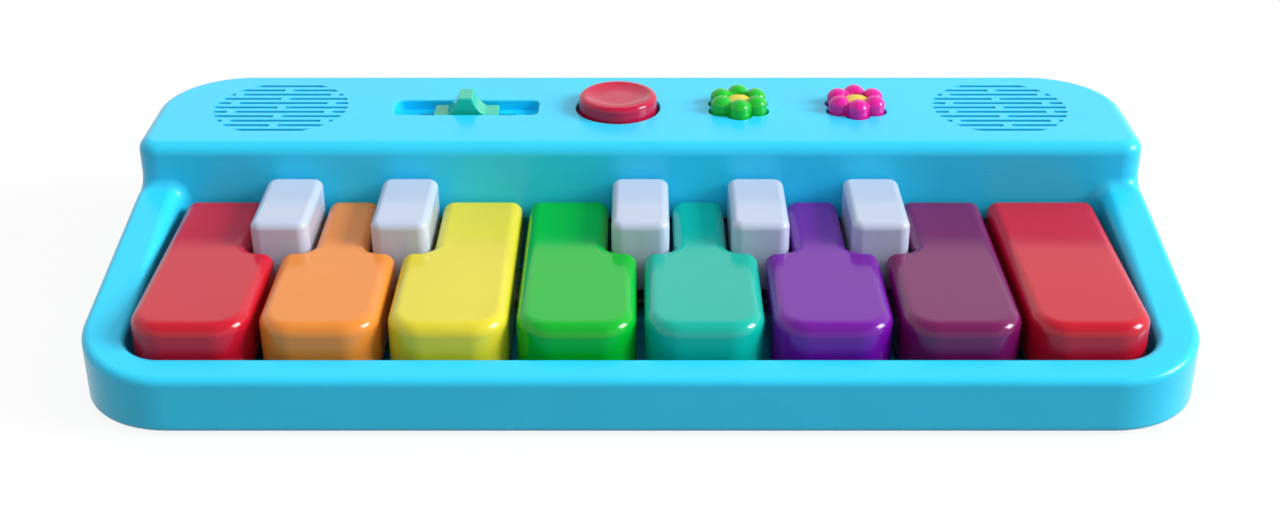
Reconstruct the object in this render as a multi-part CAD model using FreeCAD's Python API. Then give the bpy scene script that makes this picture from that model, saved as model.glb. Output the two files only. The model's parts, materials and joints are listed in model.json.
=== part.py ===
import FreeCAD, Part
import math
import os
from FreeCAD import Vector

# A toy piano: eight coloured naturals and five pale sharps in a blue case.
# Millimetres, +Z up, +X along the keyboard, the player sits at -Y.
# The origin is on the table, under the middle of the case.

# Matching tolerance, and how far cutting tools reach above the panel
TOUCH = 0.001
HEADROOM = 20.0

# Keyboard
KEY_PITCH = 30.15
KEY_GAP = 1.8
NATURAL_LENGTH = 68.7
NATURAL_DEPTH = 13.5
NATURAL_EDGE = 3.0
NATURAL_FOOT_EDGE = 0.7
NATURAL_FRONT_CORNER = 8.4
NATURAL_BACK_CORNER = 3.0
NATURAL_INNER_CORNER = 4.0
SHARP_WIDTH = 14.6
SHARP_LENGTH = 28.3
SHARP_RISE = 6.4
SHARP_SKIRT = 12.0
SHARP_EDGE = 1.9
SHARP_CORNER = 2.8
SHARP_GAP = 1.0
SHOULDER_GAP = 1.4
KEY_WALL = 1.8
NATURAL_NAMES = ("key_c_low", "key_d", "key_e", "key_f", "key_g", "key_a", "key_b", "key_c_high")
SHARP_NAMES = {0: "key_c_sharp", 1: "key_d_sharp", 3: "key_f_sharp", 4: "key_g_sharp", 5: "key_a_sharp"}

# Key levers, pivot rod and contacts
ROD_DIAMETER = 3.0
ROD_FIT = 0.08
BOSS_WALL = 2.0
BOSS_WIDTH = 12.2
PIVOT_DROP = 9.2
PIVOT_GAP = 0.6
TAIL_WIDTH = 9.0
TAIL_THICK = 4.6
TAIL_STOP_GAP = 0.3
COMB_GAP = 0.4
COMB_END = 5.0
COMB_STOP = 2.0
COMB_LIP = 1.2
HOLD_DOWN_WIDTH = 3.0
HOLD_DOWN_HEIGHT = 12.0
HOLD_DOWN_GAP = 0.2
PLUNGER_WIDTH = 5.0
PLUNGER_RIB = 1.8
DOME_GAP = 0.3
KEY_DOME_BASE = 8.4
KEY_DOME_TOP = 5.0
KEY_DOME_HEIGHT = 4.0
PAD_SHEET = 0.8
KEY_BOARD_WIDTH = 18.0
KEY_BOARD_THICK = 1.2
KEY_BOARD_END = 6.5
KEY_BOARD_LAND = 3.0
BOARD_PAD_HEIGHT = 0.4
BOARD_PAD_RADIUS = 3.0
PIN_RADIUS = 1.2
PIN_FIT = 0.15

# Case
WALL = 2.2
PANEL = 2.4
BASE_THICK = 2.2
BASE_FIT = 0.25
FOOT_LIFT = 1.0
SIDE_RIM = 10.9
BAY_SIDE_GAP = 1.9
FRONT_RIM = 8.9
BAY_FRONT_GAP = 1.5
BAY_BACK_GAP = 0.5
CONSOLE_DEPTH = 50.4
CONSOLE_HEIGHT = 37.7
RIM_FRONT = 14.1
RIM_BACK = 25.6
KEY_TOP = 22.4
CASE_CORNER = 23.0
CONSOLE_CORNER = 6.0
CONSOLE_EDGE = 3.3
RIM_EDGE = 2.0
RIM_INNER_EDGE = 1.8
RIM_INNER_BACK = 3.2
WALL_FOOT = 3.0
BASE_EDGE = 1.5
BAY_CORNER = 10.0

# Screws and feet
SCREW_RADIUS = 1.25
SCREW_FIT = 0.05
SCREW_HEAD_RADIUS = 2.2
SCREW_HEAD_HEIGHT = 1.3
SCREW_LENGTH = 9.5
SCREW_POINT = 1.0
SCREW_BOSS_RADIUS = 2.7
PILOT_SPARE = 1.0
HEAD_ROUND = 0.65
CROSS_REACH = 1.3
CROSS_WIDTH = 0.7
CROSS_DEPTH = 0.7
WEB = 2.0
FRONT_SCREW_X = 60.0
FRONT_SCREW_INSET = 0.1
SIDE_SCREW_SETBACK = 35.0
REAR_SCREW_X = 66.0
REAR_SCREW_INSET = 7.0
MID_SCREW_X = 74.5
MID_SCREW_SETBACK = 13.4
CORNER_SCREW_INSET = 5.0
FOOT_RADIUS = 6.0
FOOT_SINK = 0.8
FOOT_EDGE = 0.5
FOOT_INSET_X = 22.0
FOOT_INSET_Y = 17.0

# Console controls, in a row from left to right
CONTROL_SETBACK = 25.6
ROW_CENTRE = -0.37
SLOT_LENGTH = 39.3
SLOT_WIDTH = 10.4
SLOT_DEPTH = 2.8
SLOT_FLOOR = 1.4
SLOT_WALL = 1.6
SLOT_CORNER = 2.2
SLIT_WIDTH = 3.6
SLOT_TO_BUTTON = 11.1
BUTTON_RADIUS = 10.65
BUTTON_HOLE_GAP = 0.8
BUTTON_RISE = 3.9
BUTTON_EDGE = 1.35
BUTTON_WALL = 1.8
BUTTON_DISH = 1.0
BUTTON_DISH_RADIUS = 8.75
BUTTON_DISH_FLAT = 4.0
BUTTON_DISH_SAG = 0.75
BUTTON_TO_FLOWER = 14.75
FLOWER_TO_FLOWER = 16.9
PETALS = 6
PETAL_RADIUS = 2.9
PETAL_CIRCLE = 5.4
PETAL_RISE = 4.35
PETAL_SHOULDER = 2.5
FLOWER_HOLE_GAP = 0.5
FLOWER_CORE = 5.4
FLOWER_CORE_RISE = 1.7
CENTRE_RADIUS = 3.3
CENTRE_FIT = 0.05
CENTRE_RISE = 3.4
CENTRE_DOME = 0.9
CENTRE_PLUG = 2.4
FLANGE_LAP = 1.4
FLANGE_THICK = 1.5
FLANGE_GAP = 0.15
STEM_RADIUS = 2.6
HOLE_EDGE = 0.4
KNOB_LENGTH = 17.7
KNOB_SIDE_GAP = 1.45
KNOB_DROP = 0.75
KNOB_FLOOR_GAP = 0.2
KNOB_RIDGE = 3.8
KNOB_RISE = 4.05
KNOB_FLANK = 3.3
KNOB_HOLLOW_IN = 1.2
KNOB_HOLLOW_UP = 2.1
KNOB_EDGE = 0.45
KNOB_STEM_LENGTH = 6.0
KNOB_STEM_FIT = 0.3
KNOB_END_GAP = 0.9

# Control board and slide switch
BOARD_DROP = 9.4
BOARD_THICK = 1.6
BOARD_HALF_WIDTH = 13.5
BOARD_POST_RADIUS = 2.6
BOARD_POST_REACH = 10.5
BUTTON_DOME_BASE = 9.0
BUTTON_DOME_TOP = 6.0
BUTTON_DOME_HEIGHT = 3.5
BUTTON_PAD_RADIUS = 7.0
BUTTON_PAD_STRAP = 6.0
SWITCH_WIDTH = 8.0
SWITCH_HEIGHT = 4.6
SWITCH_END = 3.0
LEVER_LENGTH = 2.4
LEVER_THICK = 1.2
LEVER_FIT = 0.15
LEVER_FOOT = 1.2
LEVER_REACH = 3.0
STEM_TO_SWITCH = 0.5
CHIP_RADIUS = 5.0
CHIP_HEIGHT = 1.8

# Loudspeakers and grilles
GRILLE_INSET = 34.2
GRILLE_RADIUS = 18.15
GRILLE_ROWS = 11
GRILLE_PITCH = 3.1
GRILLE_SLOT = 1.35
GRILLE_FLARE = 0.08
GRILLE_WEB = 2.2
GRILLE_WEB_X = 13.25
SPEAKER_RADIUS = 20.0
SPEAKER_FIT = 0.3
SPEAKER_RING = 1.6
SPEAKER_RING_STEP = 0.3
SPEAKER_FLANGE = 2.0
SPEAKER_SHEET = 1.0
SPEAKER_DEPTH = 8.5
SPEAKER_CONE_RADIUS = 16.6
SPEAKER_NECK_RADIUS = 8.0
MAGNET_RADIUS = 9.0
MAGNET_HEIGHT = 5.0
CONE_SHEET = 0.6
CONE_DROP = 0.2
SPEAKER_SCREW_RING = 1.9
SPEAKER_POST_RADIUS = 2.4
SPEAKER_SCREW_LENGTH = 1.6

# Battery box
CELL_DIAMETER = 14.5
CELL_LENGTH = 50.5
CELL_NUB_RADIUS = 2.75
CELL_NUB_LENGTH = 1.3
CELL_GAP = 0.6
CELL_DOOR_GAP = 0.3
CELL_END_ROOM = 3.75
BOX_WALL = 1.6
BOX_SETBACK = 1.8
DOOR_THICK = 1.8
DOOR_FIT = 0.3
DOOR_EAR = 7.6
DOOR_CORNER = 3.0
EAR_PAD = 2.2
DOOR_SCREW_LENGTH = 7.0
CONTACT_THICK = 0.5
CONTACT_SIZE = 10.0
CONTACT_TIP_RADIUS = 3.0
CONTACT_TIP_GAP = 0.1

# Wiring
WIRE_RADIUS = 0.6
WIRE_BEND = 1.5
WIRE_SPACING = 2.4
WIRE_SIDE = 8.0
WIRE_GAP = 0.1
RIBBON_WIDTH = 8.0
RIBBON_THICK = 0.6
RIBBON_RUN = 4.0

# Places worked out from the sizes above
COUNT = len(NATURAL_NAMES)
BAY_HALF = (COUNT * KEY_PITCH - KEY_GAP) / 2 + BAY_SIDE_GAP
HALF_WIDTH = BAY_HALF + SIDE_RIM
CASE_DEPTH = FRONT_RIM + BAY_FRONT_GAP + NATURAL_LENGTH + BAY_BACK_GAP + CONSOLE_DEPTH
Y_FRONT = -CASE_DEPTH / 2
Y_BACK = CASE_DEPTH / 2
Y_BAY = Y_FRONT + FRONT_RIM
Y_KEY = Y_BAY + BAY_FRONT_GAP
Y_KEY_BACK = Y_KEY + NATURAL_LENGTH
Y_SHARP = Y_KEY_BACK - SHARP_LENGTH
Y_SHOULDER = Y_SHARP - SHOULDER_GAP
Y_WALL = Y_KEY_BACK + BAY_BACK_GAP
Y_ROW = Y_WALL + CONTROL_SETBACK
CASE_Z = FOOT_LIFT
BASE_TOP = CASE_Z + BASE_THICK
KEY_Z = CASE_Z + KEY_TOP
SHARP_Z = KEY_Z + SHARP_RISE
PANEL_Z = CASE_Z + CONSOLE_HEIGHT
PANEL_UNDER = PANEL_Z - PANEL
ABOVE = PANEL_Z + HEADROOM
RIM_SLOPE = (RIM_BACK - RIM_FRONT) / (Y_WALL - Y_FRONT)
RIM_WALL = WALL * math.hypot(1.0, RIM_SLOPE)

ROD_RADIUS = ROD_DIAMETER / 2
BOSS_RADIUS = ROD_RADIUS + ROD_FIT + BOSS_WALL
Y_PIVOT = Y_WALL + WALL + PIVOT_GAP + BOSS_RADIUS
Z_PIVOT = KEY_Z - PIVOT_DROP
TAIL_TOP = Z_PIVOT + BOSS_RADIUS - PIVOT_GAP
WALL_LOWER_EDGE = TAIL_TOP + TAIL_STOP_GAP
Y_DOME = Y_KEY_BACK - SHARP_LENGTH / 2
KEY_BOARD_Z = BASE_TOP + BOARD_PAD_HEIGHT
KEY_SHEET_Z = KEY_BOARD_Z + KEY_BOARD_THICK
KEY_DOME_Z = KEY_SHEET_Z + PAD_SHEET + KEY_DOME_HEIGHT

FLOWER_REACH = PETAL_CIRCLE * math.cos(math.pi / PETALS) + PETAL_RADIUS
ROW_LENGTH = SLOT_LENGTH + SLOT_TO_BUTTON + 2 * BUTTON_RADIUS + BUTTON_TO_FLOWER \
    + FLOWER_TO_FLOWER + 4 * FLOWER_REACH
SLIDER_X = ROW_CENTRE - ROW_LENGTH / 2 + SLOT_LENGTH / 2
BUTTON_X = SLIDER_X + SLOT_LENGTH / 2 + SLOT_TO_BUTTON + BUTTON_RADIUS
GREEN_X = BUTTON_X + BUTTON_RADIUS + BUTTON_TO_FLOWER + FLOWER_REACH
PINK_X = GREEN_X + 2 * FLOWER_REACH + FLOWER_TO_FLOWER
GRILLE_X = HALF_WIDTH - GRILLE_INSET
FLOWER_OUTER = PETAL_CIRCLE + PETAL_RADIUS

BOARD_Z = PANEL_UNDER - BOARD_DROP
BUTTON_SHEET_Z = BOARD_Z + PAD_SHEET
STEM_Z = BUTTON_SHEET_Z + BUTTON_DOME_HEIGHT + DOME_GAP
FLANGE_Z = PANEL_UNDER - FLANGE_GAP
SLOT_Z = PANEL_Z - SLOT_DEPTH
KNOB_TRAVEL = (SLOT_LENGTH - KNOB_LENGTH) / 2 - KNOB_END_GAP
SLOT_UNDER = SLOT_Z - SLOT_FLOOR
SWITCH_TOP = BOARD_Z + SWITCH_HEIGHT
POST_X = ((SLIDER_X + SLOT_LENGTH / 2 + BUTTON_X - BUTTON_RADIUS) / 2, (GREEN_X + PINK_X) / 2)
BOARD_POSTS = [(x, Y_ROW + side * BOARD_POST_REACH) for x in POST_X for side in (-1, 1)]

Y_BOX = Y_PIVOT + BOSS_RADIUS + BOX_SETBACK
BOX_INSIDE = 2 * CELL_DIAMETER + 3 * CELL_GAP
Y_BOX_BACK = Y_BOX + BOX_INSIDE + 2 * BOX_WALL
BOX_HALF = CELL_LENGTH / 2 + CELL_END_ROOM
DOOR_TOP = CASE_Z + DOOR_THICK
CELL_Z = DOOR_TOP + CELL_DOOR_GAP + CELL_DIAMETER / 2
BOX_ROOF = CELL_Z + CELL_DIAMETER / 2 + CELL_DOOR_GAP
DOOR_HALF = BOX_HALF + BOX_WALL + DOOR_EAR
DOOR_SCREW_X = BOX_HALF + BOX_WALL + DOOR_EAR / 2
Y_DOOR_SCREW = (Y_BOX + Y_BOX_BACK) / 2
CELL_Y = [Y_BOX + BOX_WALL + CELL_GAP + CELL_DIAMETER / 2 + n * (CELL_DIAMETER + CELL_GAP) for n in (0, 1)]

SIDE_SCREW_X = BAY_HALF + SIDE_RIM / 2
CORNER_SCREW_REACH = (CASE_CORNER - CORNER_SCREW_INSET) / math.sqrt(2)
CORNER_SCREW_X = HALF_WIDTH - CASE_CORNER + CORNER_SCREW_REACH
CORNER_SCREW_Y = Y_BACK - CASE_CORNER + CORNER_SCREW_REACH
FRONT_SCREW_Y = Y_BAY - SCREW_BOSS_RADIUS - FRONT_SCREW_INSET
RIM_SCREWS = [(side * FRONT_SCREW_X, FRONT_SCREW_Y) for side in (-1, 1)]
RIM_SCREWS += [(side * SIDE_SCREW_X, Y_FRONT + SIDE_SCREW_SETBACK) for side in (-1, 1)]
CONSOLE_SCREWS = [(side * CORNER_SCREW_X, CORNER_SCREW_Y) for side in (-1, 1)]
CONSOLE_SCREWS += [(side * REAR_SCREW_X, Y_BACK - REAR_SCREW_INSET) for side in (-1, 1)]
CONSOLE_SCREWS += [(side * MID_SCREW_X, Y_WALL + MID_SCREW_SETBACK) for side in (-1, 1)]
FOOT_X = HALF_WIDTH - FOOT_INSET_X
FOOT_Y = CASE_DEPTH / 2 - FOOT_INSET_Y
FEET = [(sx * FOOT_X, sy * FOOT_Y) for sx in (-1, 1) for sy in (-1, 1)]


# Small shape helpers
def box(x0, x1, y0, y1, z0, z1):
    return Part.makeBox(x1 - x0, y1 - y0, z1 - z0, Vector(x0, y0, z0))


def rod_z(x, y, z0, z1, radius):
    return Part.makeCylinder(radius, z1 - z0, Vector(x, y, z0))


def rod_x(x0, x1, y, z, radius):
    return Part.makeCylinder(radius, x1 - x0, Vector(x0, y, z), Vector(1, 0, 0))


def fuse(shapes):
    joined = shapes[0].multiFuse(shapes[1:]) if len(shapes) > 1 else shapes[0]
    return joined.removeSplitter()


def cut(shape, tools):
    return shape.cut(Part.makeCompound(tools) if len(tools) > 1 else tools[0])


def rounded_face(corners, z=0.0):
    """Flat face through (x, y, radius) corners, each rounded by a tangent arc."""
    edges = []
    ends = []
    count = len(corners)
    for n in range(count):
        here = Vector(corners[n][0], corners[n][1], z)
        before = Vector(corners[n - 1][0], corners[n - 1][1], z) - here
        after = Vector(corners[(n + 1) % count][0], corners[(n + 1) % count][1], z) - here
        before.normalize()
        after.normalize()
        radius = corners[n][2]
        half = before.getAngle(after) / 2
        reach = radius / math.tan(half)
        middle = before + after
        middle.normalize()
        crown = here + middle * (radius / math.sin(half) - radius)
        ends.append((here + before * reach, crown, here + after * reach, radius))
    for n in range(count):
        start, crown, stop, radius = ends[n]
        if radius > 0:
            edges.append(Part.Arc(start, crown, stop).toShape())
        edges.append(Part.makeLine(stop, ends[(n + 1) % count][0]))
    return Part.Face(Part.Wire(edges))


def rounded_block(x0, x1, y0, y1, z0, z1, front, back):
    face = rounded_face([(x0, y0, front), (x1, y0, front), (x1, y1, back), (x0, y1, back)], z0)
    return face.extrude(Vector(0, 0, z1 - z0))


def turned(profile, x, y):
    """Solid of revolution about an upright axis from (radius, z) points."""
    points = [Vector(x + r, y, z) for r, z in profile]
    wire = Part.makePolygon(points + points[:1])
    return Part.Face(wire).revolve(Vector(x, y, 0), Vector(0, 0, 1), 360)


def along(edge):
    first, last = edge.ParameterRange
    return [edge.valueAt(first + (last - first) * t) for t in (0.02, 0.25, 0.5, 0.75, 0.98)]


def pick(shape, test):
    return [edge for edge in shape.Edges if test(along(edge))]


def near(a, b):
    return abs(a - b) < TOUCH


def flat_at(points, z):
    return all(near(p.z, z) for p in points)


def save(name, shape):
    os.makedirs("parts", exist_ok=True)
    solids = shape.Solids
    result = solids[0] if len(solids) == 1 else Part.makeCompound(solids)
    if not result.isValid():
        print("not valid:", name)
    result.exportStep("parts/" + name + ".step")


# Key positions
def boundary(n):
    return (n - COUNT / 2) * KEY_PITCH


def natural_sides(n):
    return boundary(n) + KEY_GAP / 2, boundary(n + 1) - KEY_GAP / 2


def neck_sides(n):
    left, right = natural_sides(n)
    reach = SHARP_WIDTH / 2 + SHARP_GAP
    if n - 1 in SHARP_NAMES:
        left = boundary(n) + reach
    if n in SHARP_NAMES:
        right = boundary(n + 1) - reach
    return left, right


def natural_lever_x(n):
    return sum(neck_sides(n)) / 2


LEVERS = sorted([natural_lever_x(n) for n in range(COUNT)] + [boundary(n + 1) for n in SHARP_NAMES])
PIN_X = [(natural_lever_x(n) + natural_lever_x(n + 1)) / 2 for n in range(COUNT - 1) if n not in SHARP_NAMES]
COMB_X0 = LEVERS[0] - BOSS_WIDTH / 2 - COMB_GAP - COMB_END
COMB_X1 = LEVERS[-1] + BOSS_WIDTH / 2 + COMB_GAP + COMB_END
ROD_X0 = COMB_X0 + COMB_STOP + COMB_GAP
ROD_X1 = COMB_X1 - COMB_STOP - COMB_GAP
HOLD_DOWN_X = PIN_X + [(ROD_X0 + COMB_X0 + COMB_END) / 2, (ROD_X1 + COMB_X1 - COMB_END) / 2]


# Case outline
def rim_z(y):
    return CASE_Z + RIM_FRONT + RIM_SLOPE * (y - Y_FRONT)


def case_plan(inset, z0, z1):
    x = HALF_WIDTH - inset
    corner = CASE_CORNER - inset
    return rounded_block(-x, x, Y_FRONT + inset, Y_BACK - inset, z0, z1, corner, corner)


def side_profile(points):
    corners = [Vector(-HALF_WIDTH, y, z) for y, z in points]
    return Part.Face(Part.makePolygon(corners + corners[:1])).extrude(Vector(2 * HALF_WIDTH, 0, 0))


def key_bay(grow, back):
    x = BAY_HALF + grow
    face = rounded_face([(-x, Y_BAY - grow, BAY_CORNER + grow), (x, Y_BAY - grow, BAY_CORNER + grow),
                         (x, back, 0.0), (-x, back, 0.0)])
    return face.extrude(Vector(0, 0, ABOVE))


def fillet_each(shape, rounds):
    """Fillet several edges at once, each (edge, radius at its start, radius at its end)."""
    document = FreeCAD.newDocument()
    base = document.addObject("Part::Feature", "Base")
    base.Shape = shape
    feature = document.addObject("Part::Fillet", "Rounds")
    feature.Base = base
    numbered = []
    for edge, start, end in rounds:
        index = [n for n, other in enumerate(shape.Edges, 1) if other.isSame(edge)][0]
        numbered.append((index, start, end))
    feature.Edges = numbered
    document.recompute()
    result = feature.Shape.copy()
    FreeCAD.closeDocument(document.Name)
    return result.Solids[0]


def on_rim(points):
    return all(near(p.z, rim_z(p.y)) for p in points)


def on_wall(points):
    return all(near(p.y, Y_WALL) for p in points)


def on_side(points):
    return all(near(abs(p.x), HALF_WIDTH) for p in points)


def case_body():
    """The outside of the case: rim, key bay and console with all their rounded edges."""
    profile = [(Y_FRONT, CASE_Z), (Y_BACK, CASE_Z), (Y_BACK, PANEL_Z), (Y_WALL, PANEL_Z),
               (Y_WALL, CASE_Z + RIM_BACK), (Y_FRONT, CASE_Z + RIM_FRONT)]
    body = side_profile(profile).common(case_plan(0.0, CASE_Z, ABOVE))
    body = body.cut(key_bay(0.0, Y_WALL)).removeSplitter().Solids[0]

    def inner_edge(points):
        inside = all(abs(p.x) < BAY_HALF + TOUCH and p.y > Y_BAY - TOUCH for p in points)
        return on_rim(points) and inside and points[2].y < Y_WALL - TOUCH

    inner_rounds = []
    for edge in pick(body, inner_edge):
        ends = [RIM_INNER_EDGE, RIM_INNER_EDGE]
        for n, vertex in enumerate((edge.firstVertex(True), edge.lastVertex(True))):
            if near(vertex.Y, Y_WALL):
                ends[n] = RIM_INNER_BACK
        inner_rounds.append((edge, *ends))
    body = fillet_each(body, inner_rounds)

    def wall_foot(points):
        outside_bay = all(abs(p.x) > BAY_HALF - TOUCH for p in points)
        level = CASE_Z + TOUCH < points[2].z < CASE_Z + RIM_BACK + TOUCH
        return on_wall(points) and outside_bay and level and not on_side(points)

    body = body.makeFillet(WALL_FOOT, pick(body, wall_foot)).Solids[0]

    core = case_plan(10 * TOUCH, CASE_Z, ABOVE)
    rounds = []
    blends = []
    for edge in body.Edges:
        points = along(edge)
        middle = points[2]
        if on_rim(points) and not core.isInside(middle, TOUCH / 1000, True):
            rounds.append((edge, RIM_EDGE, RIM_EDGE))
        elif on_side(points) and on_wall(points):
            rounds.append((edge, CONSOLE_CORNER, CONSOLE_CORNER))
        elif on_side(points) and middle.y < Y_WALL and middle.z > rim_z(middle.y) + TOUCH:
            rises = edge.firstVertex(True).Z < edge.lastVertex(True).Z
            ends = (RIM_EDGE, CONSOLE_CORNER) if rises else (CONSOLE_CORNER, RIM_EDGE)
            blends.append((edge,) + ends)
    body = fillet_each(body, blends + rounds)
    body = body.makeFillet(CONSOLE_EDGE, pick(body, lambda p: flat_at(p, PANEL_Z))).Solids[0]

    def bottom_edge(points):
        in_width = abs(points[2].x) < BAY_HALF + TOUCH
        in_depth = Y_BAY - TOUCH < points[2].y < Y_WALL + TOUCH
        return flat_at(points, CASE_Z) and not (in_width and in_depth)

    return body.makeFillet(BASE_EDGE, pick(body, bottom_edge)).Solids[0]


def case_cavity():
    """The hollow inside the upper case, around the walls of the key bay."""
    y0 = Y_FRONT + WALL
    profile = [(y0, CASE_Z), (Y_BACK - WALL, CASE_Z), (Y_BACK - WALL, PANEL_UNDER),
               (Y_WALL + WALL, PANEL_UNDER), (Y_WALL + WALL, rim_z(Y_WALL) - RIM_WALL),
               (y0, rim_z(y0) - RIM_WALL)]
    hollow = side_profile(profile).common(case_plan(WALL, CASE_Z, ABOVE))
    hollow = hollow.cut(key_bay(WALL, Y_WALL + WALL))
    passage_half = BAY_HALF - WALL_FOOT - TAIL_STOP_GAP
    passage = box(-passage_half, passage_half, Y_WALL - WALL, Y_WALL + 2 * WALL, CASE_Z, WALL_LOWER_EDGE)
    base_room = case_plan(WALL, CASE_Z, BASE_TOP)
    return [hollow, passage, base_room]


# Console openings
def flower_petals(radius, z0, z1, x):
    discs = []
    for n in range(PETALS):
        turn = math.pi / 2 + n * 2 * math.pi / PETALS
        px = x + PETAL_CIRCLE * math.cos(turn)
        py = Y_ROW + PETAL_CIRCLE * math.sin(turn)
        discs.append(rod_z(px, py, z0, z1, radius))
    return discs


def flower_hole(x):
    holes = flower_petals(PETAL_RADIUS + FLOWER_HOLE_GAP, PANEL_UNDER, PANEL_Z, x)
    return fuse(holes + [rod_z(x, Y_ROW, PANEL_UNDER, PANEL_Z, PETAL_CIRCLE)])


def grille_slots(x):
    half = GRILLE_SLOT / 2
    flare = half + GRILLE_FLARE
    slots = []
    for n in range(GRILLE_ROWS):
        y = Y_ROW + (n - (GRILLE_ROWS - 1) / 2) * GRILLE_PITCH
        section = [(-half, PANEL_UNDER), (half, PANEL_UNDER), (half, PANEL_Z - GRILLE_FLARE), (flare, PANEL_Z),
                   (-flare, PANEL_Z), (-half, PANEL_Z - GRILLE_FLARE)]
        corners = [Vector(x - GRILLE_RADIUS, y + dy, z) for dy, z in section]
        bar = Part.Face(Part.makePolygon(corners + corners[:1])).extrude(Vector(2 * GRILLE_RADIUS, 0, 0))
        end_row = n in (0, GRILLE_ROWS - 1)
        webs = [] if end_row else ([0.0] if n % 2 else [-GRILLE_WEB_X, GRILLE_WEB_X])
        for web in webs:
            bar = bar.cut(box(x + web - GRILLE_WEB / 2, x + web + GRILLE_WEB / 2, y - GRILLE_PITCH,
                              y + GRILLE_PITCH, PANEL_UNDER, PANEL_Z))
        slots.append(bar)
    disc = rod_z(x, Y_ROW, PANEL_UNDER, PANEL_Z, GRILLE_RADIUS)
    return Part.makeCompound(slots).common(disc)


def slider_pocket(grow, z0, z1):
    x = SLOT_LENGTH / 2 + grow
    y = SLOT_WIDTH / 2 + grow
    corner = SLOT_CORNER + grow
    return rounded_block(SLIDER_X - x, SLIDER_X + x, Y_ROW - y, Y_ROW + y, z0, z1, corner, corner)


def slider_slit():
    x = KNOB_STEM_LENGTH / 2 + KNOB_TRAVEL + KNOB_STEM_FIT
    return box(SLIDER_X - x, SLIDER_X + x, Y_ROW - SLIT_WIDTH / 2, Y_ROW + SLIT_WIDTH / 2, SLOT_UNDER, SLOT_Z)


def speaker_screw_places(x):
    ring = SPEAKER_RADIUS + SPEAKER_SCREW_RING
    return [(x + side * ring, Y_ROW) for side in (-1, 1)]


def speaker_seat(x):
    """Ring and two posts under the panel that hold one loudspeaker."""
    inner = SPEAKER_RADIUS + SPEAKER_FIT
    seat = [rod_z(x, Y_ROW, PANEL_UNDER - SPEAKER_FLANGE + SPEAKER_RING_STEP, PANEL_Z - PANEL / 2,
                  inner + SPEAKER_RING)]
    for px, py in speaker_screw_places(x):
        seat.append(rod_z(px, py, PANEL_UNDER - SPEAKER_FLANGE, PANEL_Z - PANEL / 2, SPEAKER_POST_RADIUS))
    seat = [part.cut(rod_z(x, Y_ROW, 0, PANEL_UNDER, inner)) for part in seat]
    screws = [rod_z(px, py, 0, PANEL_UNDER, SCREW_RADIUS + SCREW_FIT) for px, py in speaker_screw_places(x)]
    return seat, screws


# Upper case
def upper_case():
    bosses = []
    pilots = []
    pilot_top = CASE_Z + SCREW_LENGTH + PILOT_SPARE
    pilot = SCREW_RADIUS + SCREW_FIT
    for x, y in RIM_SCREWS:
        top = rim_z(y - SCREW_BOSS_RADIUS) - RIM_WALL / 2
        bosses.append(rod_z(x, y, BASE_TOP, top, SCREW_BOSS_RADIUS))
        pilots.append(rod_z(x, y, BASE_TOP, pilot_top, pilot))
    for side in (-1, 1):
        x = side * SIDE_SCREW_X
        y = Y_FRONT + SIDE_SCREW_SETBACK
        reach = SIDE_RIM / 2 - WALL / 2
        top = rim_z(y - WEB / 2) - RIM_WALL / 2
        bosses.append(box(x - reach, x + reach, y - WEB / 2, y + WEB / 2, BASE_TOP, top))
    for x, y in CONSOLE_SCREWS:
        bosses.append(rod_z(x, y, BASE_TOP, PANEL_Z - PANEL / 2, SCREW_BOSS_RADIUS))
        pilots.append(rod_z(x, y, BASE_TOP, pilot_top, pilot))
    for x, y in BOARD_POSTS:
        bosses.append(rod_z(x, y, BOARD_Z, PANEL_Z - PANEL / 2, BOARD_POST_RADIUS))
        pilots.append(rod_z(x, y, BOARD_Z, PANEL_UNDER, pilot))
    for x in HOLD_DOWN_X:
        z0 = Z_PIVOT + ROD_RADIUS + HOLD_DOWN_GAP
        bosses.append(box(x - HOLD_DOWN_WIDTH / 2, x + HOLD_DOWN_WIDTH / 2, Y_WALL + WALL / 2,
                          Y_PIVOT + ROD_RADIUS, z0, z0 + HOLD_DOWN_HEIGHT))
    for side in (-1, 1):
        seat, screws = speaker_seat(side * GRILLE_X)
        bosses += seat
        pilots += screws
    bosses.append(slider_pocket(SLOT_WALL, SLOT_UNDER, PANEL_Z - PANEL / 2))

    shell = cut(case_body(), case_cavity())
    shell = fuse([shell] + bosses)
    openings = [slider_pocket(0.0, SLOT_Z, PANEL_Z), slider_slit(), flower_hole(GREEN_X), flower_hole(PINK_X)]
    openings.append(rod_z(BUTTON_X, Y_ROW, PANEL_UNDER, PANEL_Z, BUTTON_RADIUS + BUTTON_HOLE_GAP))
    shell = cut(shell, pilots)
    for opening in openings:
        shell = shell.cut(opening)
    shell = shell.Solids[0]

    def control_edge(points):
        in_row = all(abs(p.x - ROW_CENTRE) < ROW_LENGTH / 2 + SLOT_WALL for p in points)
        in_line = all(abs(p.y - Y_ROW) < CONTROL_SETBACK / 2 for p in points)
        return flat_at(points, PANEL_Z) and in_row and in_line

    shell = shell.makeFillet(HOLE_EDGE, pick(shell, control_edge))
    for side in (-1, 1):
        shell = shell.cut(grille_slots(side * GRILLE_X))
    return shell


# Screws
def csk_screw(x, y, z, length):
    """Countersunk screw driven up from below, its head flush at height z."""
    tip = z + length
    core = turned([(0, z), (SCREW_HEAD_RADIUS, z), (SCREW_RADIUS, z + SCREW_HEAD_HEIGHT),
                   (SCREW_RADIUS, tip - SCREW_POINT), (SCREW_RADIUS / 2, tip), (0, tip)], x, y)
    for dx, dy in ((CROSS_REACH, CROSS_WIDTH / 2), (CROSS_WIDTH / 2, CROSS_REACH)):
        core = core.cut(box(x - dx, x + dx, y - dy, y + dy, z, z + CROSS_DEPTH))
    return core


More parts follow.
